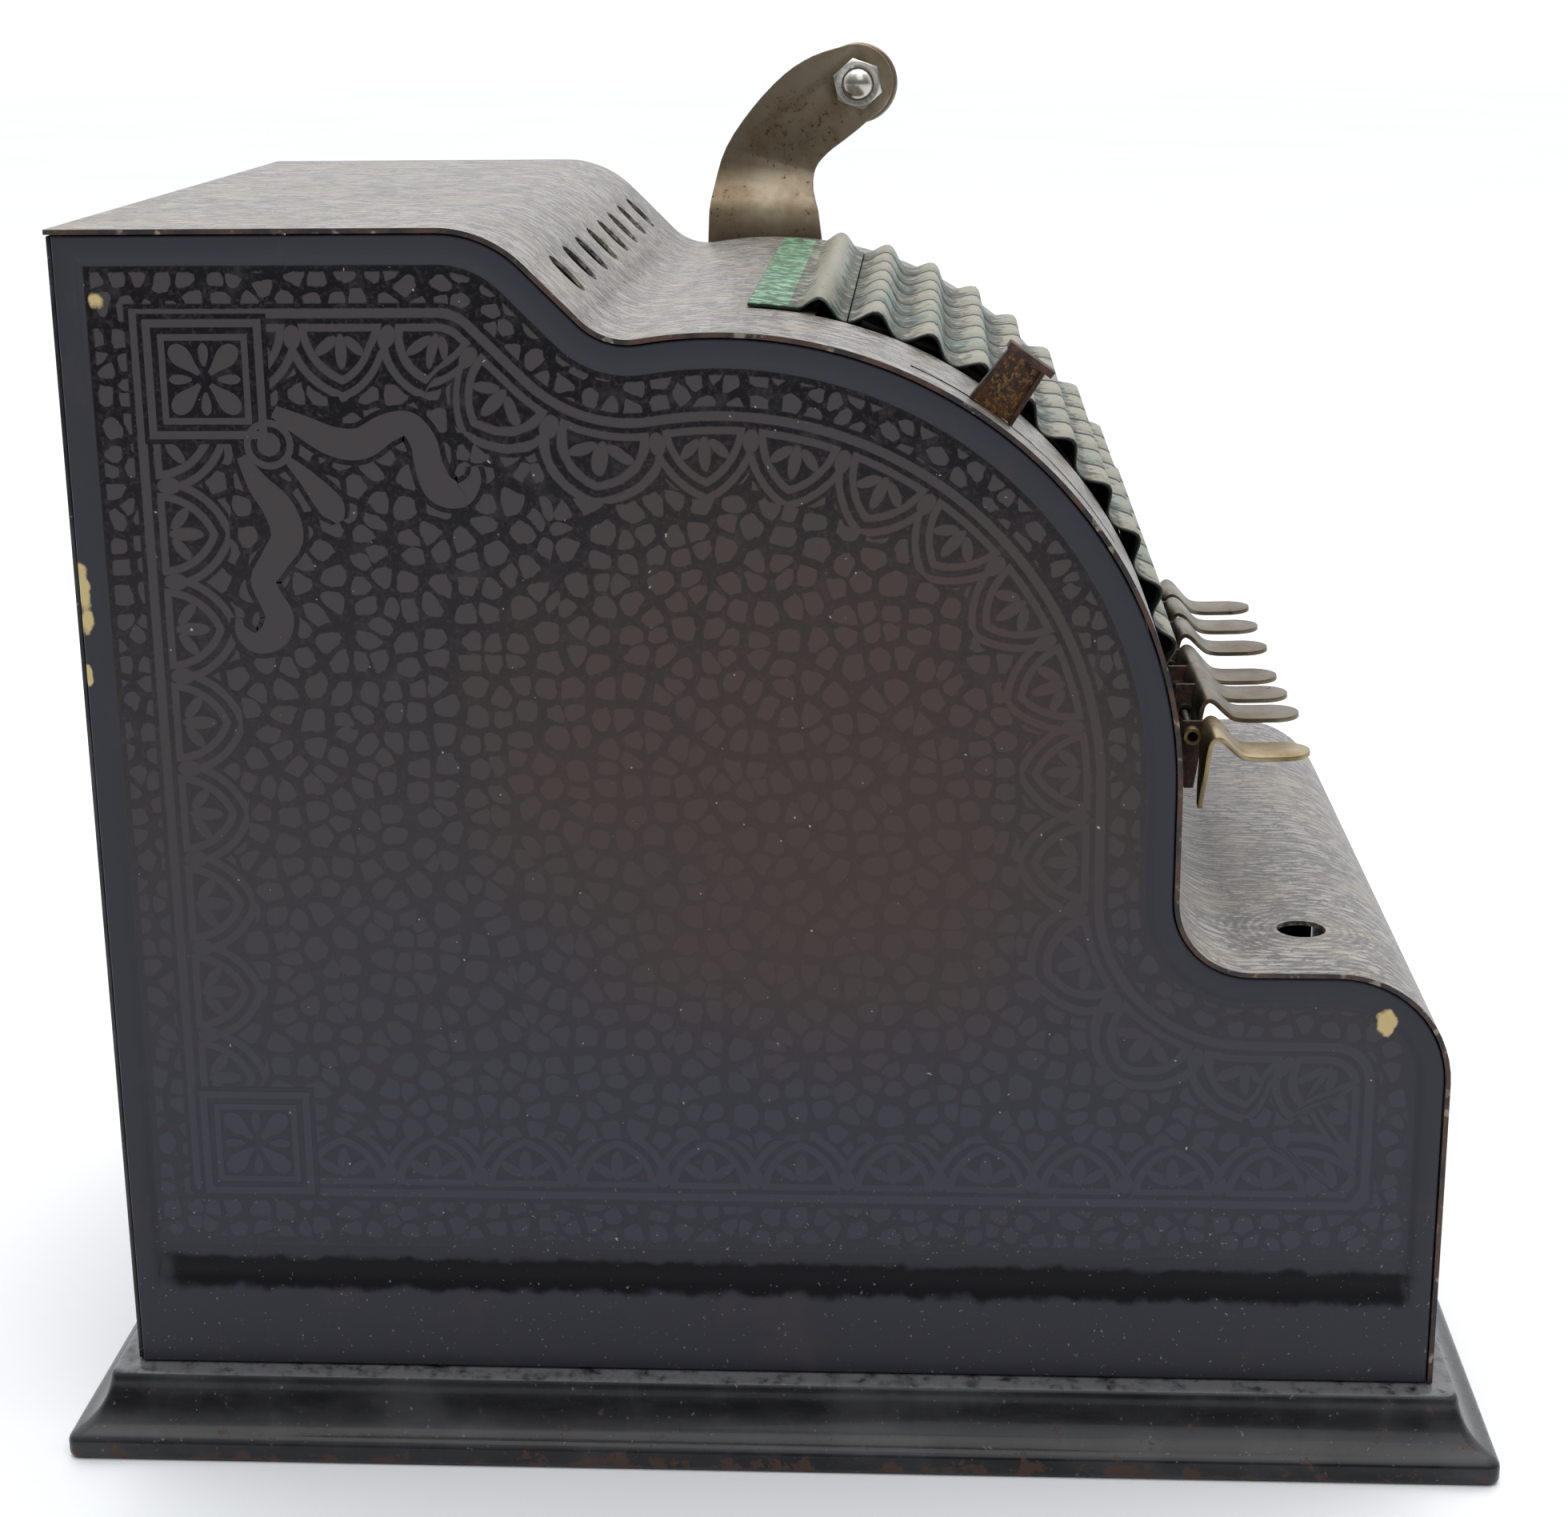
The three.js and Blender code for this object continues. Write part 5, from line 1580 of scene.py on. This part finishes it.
@dataclass
class Keyboard:
    """The corrugated sheets: a fixed top plate and seven sliding strips."""

    finishes: Finishes
    columns: int = COLUMNS
    first_x: float = FIRST_COLUMN_X
    pitch: float = COLUMN_PITCH
    width: float = 19.8
    sheet: float = 0.8
    ridge_pitch: float = 7.35
    first_ridge: float = 11.2
    top: float = 96.85
    foot: float = 93.1
    ridges: int = 9
    plate_start: float = 2.2
    looks: tuple[int, ...] = (0, 1, 2, 0, 2, 0, 2)

    def radius(self, theta: float) -> float:
        """The corrugated outer face's radius: narrow ridges between wider troughs."""
        rise = ((1 + math.cos(2 * math.pi * (theta - self.first_ridge) / self.ridge_pitch)) / 2) ** 1.2
        return self.foot + (self.top - self.foot) * rise

    def plate_radius(self, theta: float) -> float:
        """The top plate's outer face: flat on the cover, then over the first ridge."""
        flat = LINE.boss + FITTING_GAP + self.sheet
        if theta < self.first_ridge - self.ridge_pitch / 2:
            return flat
        return max(flat, self.radius(theta)) if theta < self.first_ridge else self.radius(theta)

    def section(
        self, radius_at: Callable[[float], float], start: float, end: float, steps: int
    ) -> list[Point]:
        """The closed section of a sheet from one theta to another."""
        thetas = [start + (end - start) * i / steps for i in range(steps + 1)]
        outer = [LINE.polar(radius_at(theta), theta) for theta in thetas]
        inner = [LINE.polar(radius_at(theta) - self.sheet, theta) for theta in thetas[::-1]]
        return outer + inner

    def sheet_piece(self, name: str, section: list[Point], x0: float, x1: float) -> bpy.types.Object:
        """A sheet drawn out along X with its cut edges softened."""
        piece = extruded(name, [(x0, y, z) for y, z in section], (x1 - x0, 0, 0))
        rounded(piece, 0.16, 1, 60)
        return smoothed(piece, 50)

    def build(self) -> None:
        """Builds the plate, the strips, and dresses the works behind them."""
        start = self.first_ridge + 0.55 * self.ridge_pitch
        end = self.first_ridge + (self.ridges + 0.5) * self.ridge_pitch
        left = self.first_x - self.width / 2
        right = left + self.pitch * (self.columns - 1) + self.width
        section = self.section(self.plate_radius, self.plate_start, start - 0.12, 40)
        plate = self.sheet_piece("top_plate_sheet", section, left, right)
        foot_y, _ = LINE.polar(self.plate_radius(0), self.first_ridge - self.ridge_pitch / 2)
        for face in plate.data.polygons:
            face.material_index = int(face.center.y / MM < foot_y)
        dress(plate, self.finishes.top_plate, self.finishes.top_ridge)
        place_on(plate, "case", "green_enamel", "keyboard_top_plate")
        section = self.section(self.radius, start, end, self.ridges * 11)
        half = self.width / 2
        model = self.sheet_piece("strip_sheet_1", section, self.first_x - half, self.first_x + half)
        for column in range(self.columns):
            strip = model if column == 0 else copied(model, f"strip_sheet_{column + 1}")
            if column:
                strip.data.transform(Matrix.Translation((self.pitch * column * MM, 0, 0)))
            # Side faces take the darker edge finish: grime and painted shade of the gaps between strips.
            for face in strip.data.polygons:
                face.material_index = int(abs(face.normal.x) > 0.6)
            dress(strip, self.finishes.slides[self.looks[column]], self.finishes.slide_edge)
            place_on(strip, f"slide_{column + 1}", "green_enamel", f"slide_strip_{column + 1}")
            name = f"slide_sector_{column + 1}"
            sector = dress(from_node(name, f"sector_{column + 1}", edge=0.15), self.finishes.steel)
            place_on(sector, f"slide_{column + 1}", "dark_steel", name)


@dataclass
class ReleaseKeys:
    """The seven pressed release keys on their rod."""

    finishes: Finishes
    columns: int = COLUMNS
    first_x: float = FIRST_COLUMN_X
    pitch: float = COLUMN_PITCH
    half: float = 9.0
    tab: float = 6.0
    tip: float = -115.3
    thick: float = 1.0
    rod: tuple[float, float, float] = (-90.2, 144.0, 0.9)
    drops: tuple[float, ...] = (2.6, -0.5, 0.4, 1.4, -0.6, -1.1, -1.3)

    def path(self) -> list[tuple[float, float, float, float]]:
        """The side line as (y, z, left edge, right edge), from the leg's end to the tab's tip."""
        stations = [
            (-90.9, 134.5, -9.0, -6.3), (-91.3, 138.0, -9.0, -2.1), (-92.0, 142.0, -9.0, 2.7),
            (-92.4, 145.6, -9.0, 7.2), (-92.7, 147.6, -9.0, 9.0), (-93.2, 149.2, -9.0, 9.0),
            (-94.3, 150.0, -9.0, 9.0), (-95.6, 149.5, -9.0, 9.0), (-97.0, 148.1, -8.4, 8.4),
            (-98.4, 146.6, -7.2, 7.2), (-99.8, 145.4, -6.4, 6.4), (-101.4, 144.85, -6.0, 6.0),
            (-104.0, 144.7, -6.0, 6.0), (-109.3, 144.8, -6.0, 6.0),
        ]
        for step in range(1, 8):
            a = math.pi / 2 * step / 7.4
            half = self.tab * math.cos(a)
            stations.append((self.tip + self.tab * (1 - math.sin(a)), 144.8 + 0.2 * step / 7, -half, half))
        return stations

    def sheet_piece(self, name: str) -> bpy.types.Object:
        """The bent sheet of one key, with its far cheek, at X nought."""
        dense = CornerOrnament.smooth_path([(y, z, left) for y, z, left, _ in self.path()])
        rights = CornerOrnament.smooth_path([(y, z, right) for y, z, _, right in self.path()])
        loops = []
        for i, ((y, z, left), (_, _, right)) in enumerate(zip(dense, rights)):
            ahead, behind = dense[min(i + 1, len(dense) - 1)], dense[max(i - 1, 0)]
            along = Vector((0, ahead[0] - behind[0], ahead[1] - behind[1])).normalized()
            across = Vector((0, -along.z, along.y)) * self.thick / 2
            near, far = Vector((left, y, z)), Vector((right, y, z))
            loops.append([near + across, far + across, far - across, near - across])
        sheet = tidy_normals(lofted(name, loops))
        cheek_line = [
            (-93.2, 149.4), (-88.3, 149.4), (-88.3, 138.0), (-88.9, 134.0), (-91.0, 134.0),
            (-92.2, 142.0),
        ]
        x0 = self.half - self.thick
        cheek = extruded("cheek", [(x0, y, z) for y, z in cheek_line], (self.thick, 0, 0))
        return rounded(merged(name, sheet, cheek), 0.22, 2, 50)

    def build(self) -> None:
        """Builds and places the seven keys."""
        y, z, radius = self.rod
        bore, wall = radius + FITTING_GAP, radius + 1.0
        for column in range(self.columns):
            x = self.first_x + self.pitch * column
            name = f"release_key_{column + 1}"
            sheet = self.sheet_piece(name)
            sheet.data.transform(Matrix.Translation((x * MM, 0, -self.drops[column] * MM)))
            tube = [(x + 5, bore), (x + 5, wall), (x + 8.5, wall), (x + 8.5, bore), (x + 5, bore)]
            key = smoothed(merged(name, sheet, spun("barrel", tube, y, z, 20)), 45)
            cheek_x = x + self.half - self.thick - 0.1
            for face in key.data.polygons:
                middle = face.center / MM
                face.material_index = int(middle.x > cheek_x and middle.y > self.rod[0] - 4)
            plate = self.finishes.brassy if column == 0 else self.finishes.keys
            dress(key, plate, self.finishes.rust_dark)
            place_on(key, f"key_{column + 1}", "key_nickel", f"finger_key_{column + 1}")
        for node, name in (
            ("key_rod", "key_pivot_rod"),
            ("middle_key_bracket", "key_bracket_middle"),
            ("right_key_bracket", "key_bracket_right"),
        ):
            piece = dress(from_node(node, name, edge=0.12), self.finishes.steel)
            place_on(piece, "case", "dark_steel", node)


# ---- works -------------------------------------------------------------------------------


@dataclass
class Works:
    """The frame, rods, comb and spring inside the case."""

    finishes: Finishes

    def build(self) -> None:
        """Dresses refined copies of the inner CAD nodes."""
        steel = self.finishes.steel
        for node in (
            "left_frame", "right_frame", "front_tie_rod", "rear_tie_rod", "detent_comb", "dial_shaft",
        ):
            piece = dress(from_node(node, f"{node}_piece", edge=0.2), steel)
            place_on(piece, "case", "dark_steel", node)
        spring = dress(from_node("crank_spring", "return_spring", edge=0, angle=80), steel)
        place_on(spring, "case", "dark_steel", "crank_spring")


@dataclass
class CountingWheels:
    """Eight white wheels with figures from 0 to 9 behind the windows."""

    finishes: Finishes
    wheels: int = COLUMNS + 1
    first_x: float = FIRST_WINDOW_X
    pitch: float = COLUMN_PITCH
    axis: Point = (56.649, 233.928)
    radius: float = 18.6
    window_turn: float = 45.0
    figure_height: float = 7.6
    figure_rise: float = 0.05
    figure_left: float = 0.75

    def figures(self, name: str, x: float) -> bpy.types.Object:
        """Ten raised figures round a wheel, the 0 facing its window."""
        marks = []
        for digit in range(10):
            bpy.ops.object.select_all(action="DESELECT")
            bpy.ops.object.text_add()
            mark = bpy.context.view_layer.objects.active
            mark.data.body = str(digit)
            mark.data.size = self.figure_height * MM
            mark.data.extrude = self.figure_rise * MM
            mark.data.align_x = "CENTER"
            mark.data.align_y = "CENTER"
            select_only(mark)
            bpy.ops.object.convert(target="MESH")
            mark = bpy.context.view_layer.objects.active
            turn = Matrix.Rotation(math.radians(self.window_turn + 36 * digit), 4, "X")
            out = Matrix.Translation((0, 0, (self.radius + 0.02) * MM))
            middle = (x - self.figure_left, *self.axis)
            place = Matrix.Translation([value * MM for value in middle])
            mark.data.transform(place @ turn @ out)
            marks.append(mark)
        whole = merged(name, *marks)
        with editing(whole):
            bpy.ops.mesh.select_all(action="SELECT")
            bpy.ops.mesh.remove_doubles(threshold=1e-6)
        return whole

    def build(self) -> None:
        """Builds the wheels and their figures."""
        for i in range(self.wheels):
            x = self.first_x + self.pitch * i
            body, node = f"counter_{i + 1}", f"number_wheel_{i + 1}"
            drum = dress(from_node(node, f"wheel_{i + 1}", edge=0.25), self.finishes.dial)
            place_on(drum, body, "wheel_white", node)
            figures = dress(self.figures(f"wheel_figures_{i + 1}", x), self.finishes.ink)
            place_on(figures, body, "wheel_white")


# ---- crank and lever ---------------------------------------------------------------------


@dataclass
class Crank:
    """The bent arm with its hub, nuts, bolt and turned handle."""

    finishes: Finishes
    shaft: Point = (9.6, 147.5)
    bolt: Point = (-12.5, 278.8)
    bolt_radius: float = 4.1
    out_x: float = 109.5
    arm_sheet: float = 2.5
    nut_flats: float = 11.6
    nut_thick: float = 4.3
    nut_turn: float = 19.0
    hub_nut_flats: float = 16.0
    hub_nut_bore: float = 5.3
    grip_length: float = 70.0
    grip_radius: float = 7.0
    grip_swell: float = 0.9

    def build(self) -> None:
        """Builds the crank's pieces."""
        for node, material in (
            ("crank_arm", self.finishes.crank),
            ("crank_hub", self.finishes.crank),
            ("main_shaft", self.finishes.steel),
        ):
            piece = dress(from_node(node, f"{node}_piece", edge=0.35, angle=62), material)
            slot = "dark_steel" if node == "main_shaft" else "crank_nickel"
            place_on(piece, "crank", slot, node)
        low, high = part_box("crank_shaft_nut")
        span = (low.x / MM, high.x / MM)
        big = self.nut("hub_nut", self.shaft, self.hub_nut_flats, span, 0.0, self.hub_nut_bore)
        place_on(dress(big, self.finishes.crank), "crank", "crank_nickel", "crank_shaft_nut")
        outer = self.out_x - FITTING_GAP
        span = (outer - self.nut_thick, outer)
        bore = self.bolt_radius + 0.08
        small = self.nut("bolt_nut", self.bolt, self.nut_flats, span, self.nut_turn, bore)
        place_on(dress(small, self.finishes.bright), "crank", "crank_nickel", "crank_nut")
        self.bolt_piece(outer - self.nut_thick)
        self.handle()

    def nut(
        self, name: str, middle: Point, flats: float, span: Point, turn: float, bore: float
    ) -> bpy.types.Object:
        """A hexagon nut with its corners turned off on both faces, and a bore.

        Args:
            name: The new piece's name.
            middle: Its axis, which is parallel to X.
            flats: Its width across two flats.
            span: Where it starts and ends along X.
            turn: How far a corner is turned from +Y, in degrees.
            bore: The radius of its bore.

        Returns:
            The finished nut.
        """
        y, z = middle
        x0, x1 = span
        corner = flats / math.sqrt(3)
        angles = [math.radians(60 * i + turn) for i in range(6)]
        points = [(x0, y + corner * math.cos(a), z + corner * math.sin(a)) for a in angles]
        nut = extruded(name, points, (x1 - x0, 0, 0))
        flat, slope = flats / 2 * 0.97, 0.62
        cone = [
            (x0, 0), (x0, flat), (x0 + (corner + 1 - flat) * slope, corner + 1),
            (x1 - (corner + 1 - flat) * slope, corner + 1), (x1, flat), (x1, 0),
        ]
        tool = spun("tool", cone, y, z, 60)
        apply_modifier(nut, "BOOLEAN", operation="INTERSECT", solver="EXACT", object=tool)
        bpy.data.objects.remove(tool)
        cut_by(nut, spun("tool", [(x0 - 2, 0), (x0 - 2, bore), (x1 + 2, bore), (x1 + 2, 0)], y, z, 40))
        return smoothed(rounded(nut, 0.15, 2, 40), 30)

    def bolt_piece(self, nut_face: float) -> None:
        """The bolt: a domed end past the nut, a shank and a round head outside the handle."""
        y, z = self.bolt
        radius = self.bolt_radius
        tip = nut_face - 2.9
        angles = [math.radians(a) for a in range(0, 91, 9)]
        dome = [(tip + 3.4 * (1 - math.cos(a)), radius * math.sin(a)) for a in angles]
        end = self.out_x + self.arm_sheet + 3.6 + self.grip_length
        head = [
            (end + 0.3, radius), (end + 0.3, 5.7), (end + 0.5, 5.9), (end + 1.2, 5.6),
            (end + 2.0, 4.6), (end + 2.7, 2.8), (end + 3.0, 0.0),
        ]
        bolt = smoothed(spun("handle_bolt", [*dome, *head], y, z, 40))
        place_on(dress(bolt, self.finishes.bright), "crank", "crank_nickel", "crank_bolt")

    def handle(self) -> None:
        """The ferrule and the turned handle."""
        y, z = self.bolt
        bore = self.bolt_radius + FITTING_GAP
        start = self.out_x + self.arm_sheet + FITTING_GAP
        ring = [
            (start, bore), (start, 9.9), (start + 0.4, 10.3), (start + 1.2, 10.3), (start + 1.7, 9.6),
            (start + 2.6, 8.8), (start + 3, 8.4), (start + 3, bore), (start, bore),
        ]
        ferrule = dress(smoothed(spun("handle_ferrule", ring, y, z, 48)), self.finishes.crank)
        place_on(ferrule, "grip", "crank_nickel", "grip_ferrule")
        foot, end = start + 3.3, start + 3.3 + self.grip_length
        swell = []
        for i in range(25):
            t = i / 24
            radius = self.grip_radius + self.grip_swell * math.sin(math.pi * t**0.8)
            swell.append((foot + t * (self.grip_length - 5), radius))
        tail = [(end - 2.4, 6.8), (end - 1.2, 6.4), (end - 0.4, 5.9), (end, 5.4)]
        line = [(foot, bore), *swell, *tail, (end, bore), (foot, bore)]
        grip = dress(smoothed(spun("handle_grip", line, y, z, 48)), self.finishes.wood)
        place_on(grip, "grip", "grip_wood", "crank_grip")


@dataclass
class SideLever:
    """The small lever beside the keyboard."""

    finishes: Finishes
    face_x: float = -88.12

    def build(self) -> None:
        """Refines the lever and darkens its rims."""
        lever = from_node("side_lever", "shift_lever", edge=0.2)
        for polygon in lever.data.polygons:
            middle = polygon.center / MM
            polygon.material_index = int(abs(middle.x - self.face_x) > 0.1)
        dress(lever, self.finishes.rust, self.finishes.rust_dark)
        place_on(lever, "lever", "rusted_steel", "side_lever")


# ---- studio ------------------------------------------------------------------------------


@dataclass
class Studio:
    """Pale floor, soft lamps and the camera."""

    place: tuple[float, float, float] = (-0.62482, -0.03270, 0.30722)
    turns: tuple[float, float, float] = (0.2822, 0.0542, 0.0054)
    lens: float = 62.43
    room_light: float = 0.16
    room_tint: Colour = (0.965, 0.98, 1.0)

    def build(self) -> None:
        """Makes the floor, lamps and camera."""
        self.floor()
        self.lamps()
        self.camera()

    def floor(self) -> None:
        """A wide pale floor with the look of matt paper."""
        bpy.ops.object.select_all(action="DESELECT")
        bpy.ops.mesh.primitive_plane_add(size=14, location=(0, 0, -0.0002))
        floor = bpy.context.view_layer.objects.active
        floor.name = "studio_floor"
        settle(floor)
        graph = Graph("studio_paper")
        cloud = graph.noise(400, 2)
        colour = graph.mix(cloud, (0.86, 0.87, 0.89), (0.92, 0.93, 0.95))
        dress(floor, graph.surface(Base_Color=colour, Roughness=0.6, Metallic=0.0))

    def lamp(
        self,
        name: str,
        place: Sequence[float],
        size: Point,
        power: float,
        tint: Colour,
        aim: Sequence[float],
    ) -> None:
        """One soft rectangular lamp.

        Args:
            name: Its name.
            place: Where it hangs, in metres.
            size: Its two sides, in metres.
            power: Its power in watts.
            tint: Its colour.
            aim: The place that it points at, in metres.
        """
        bpy.ops.object.select_all(action="DESELECT")
        bpy.ops.object.light_add(type="AREA", location=place)
        lamp = bpy.context.view_layer.objects.active
        lamp.name = name
        lamp.data.shape = "RECTANGLE"
        lamp.data.size, lamp.data.size_y = size
        lamp.data.energy = power
        lamp.data.color = tint
        direction = Vector(aim) - Vector(place)
        lamp.rotation_euler = direction.to_track_quat("-Z", "Y").to_euler()

    def lamps(self) -> None:
        """A room that is brighter beyond the machine and above it, with two soft lamps."""
        world = bpy.data.worlds.new("studio_room")
        bpy.context.scene.world = world
        world.use_nodes = True
        graph = Graph("room", world)
        direction = graph.add("ShaderNodeTexCoord", {}, {}).socket("Generated")
        split = graph.add("ShaderNodeSeparateXYZ", {}, {0: direction})
        beyond, up = split.signal(0), split.signal(2)
        light = beyond.over(0.1, 0.5) + up.at_least(0.0) ** 2 + self.room_light
        inputs = {"Color": self.room_tint, "Strength": light}
        shell = graph.add("ShaderNodeBackground", {}, inputs)
        graph.add("ShaderNodeOutputWorld", {}, {"Surface": shell.socket(0)})
        middle = (0, 0, 0.15)
        self.lamp("overhead", (0.3, -0.1, 1.6), (1.6, 1.8), 14, (1.0, 0.98, 0.95), middle)
        self.lamp("over_camera", (-1.3, -0.5, 1.7), (1.3, 1.3), 6, (0.95, 0.97, 1.0), middle)

    def camera(self) -> None:
        """The camera, level with the machine's left side and a little above it."""
        pitch, yaw, roll = self.turns
        facing = Matrix(((0, -1, 0), (0, 0, -1), (1, 0, 0)))
        turn = Matrix.Rotation(roll, 3, "Z") @ Matrix.Rotation(yaw, 3, "Y")
        turn = turn @ Matrix.Rotation(pitch, 3, "X") @ facing
        axes = Matrix((turn[0], -Vector(turn[1]), -Vector(turn[2]))).transposed()
        bpy.ops.object.camera_add()
        camera = bpy.context.view_layer.objects.active
        camera.name = "studio_camera"
        camera.data.sensor_width = 36
        camera.data.lens = self.lens
        camera.data.clip_start, camera.data.clip_end = 0.01, 50
        camera.matrix_world = Matrix.Translation(self.place) @ axes.to_4x4()
        bpy.context.scene.camera = camera
        bpy.context.scene.view_settings.view_transform = "Standard"


def main() -> None:
    """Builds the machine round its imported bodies, sub-assembly by sub-assembly."""
    logging.basicConfig(level=logging.INFO, format="%(name)s %(message)s", stream=sys.stdout)
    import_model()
    finishes = Finishes()
    for assembly in (
        Plinth(finishes),
        SidePanel(Side.LEFT, finishes),
        SidePanel(Side.RIGHT, finishes),
        CornerOrnament(Side.LEFT, finishes),
        CornerOrnament(Side.RIGHT, finishes),
        TopCover(finishes),
        BackPanel(finishes),
        Keyboard(finishes),
        ReleaseKeys(finishes),
        Works(finishes),
        CountingWheels(finishes),
        Crank(finishes),
        SideLever(finishes),
        Studio(),
    ):
        LOG.info("building %s", type(assembly).__name__)
        assembly.build()


if __name__ == "__main__":
    main()
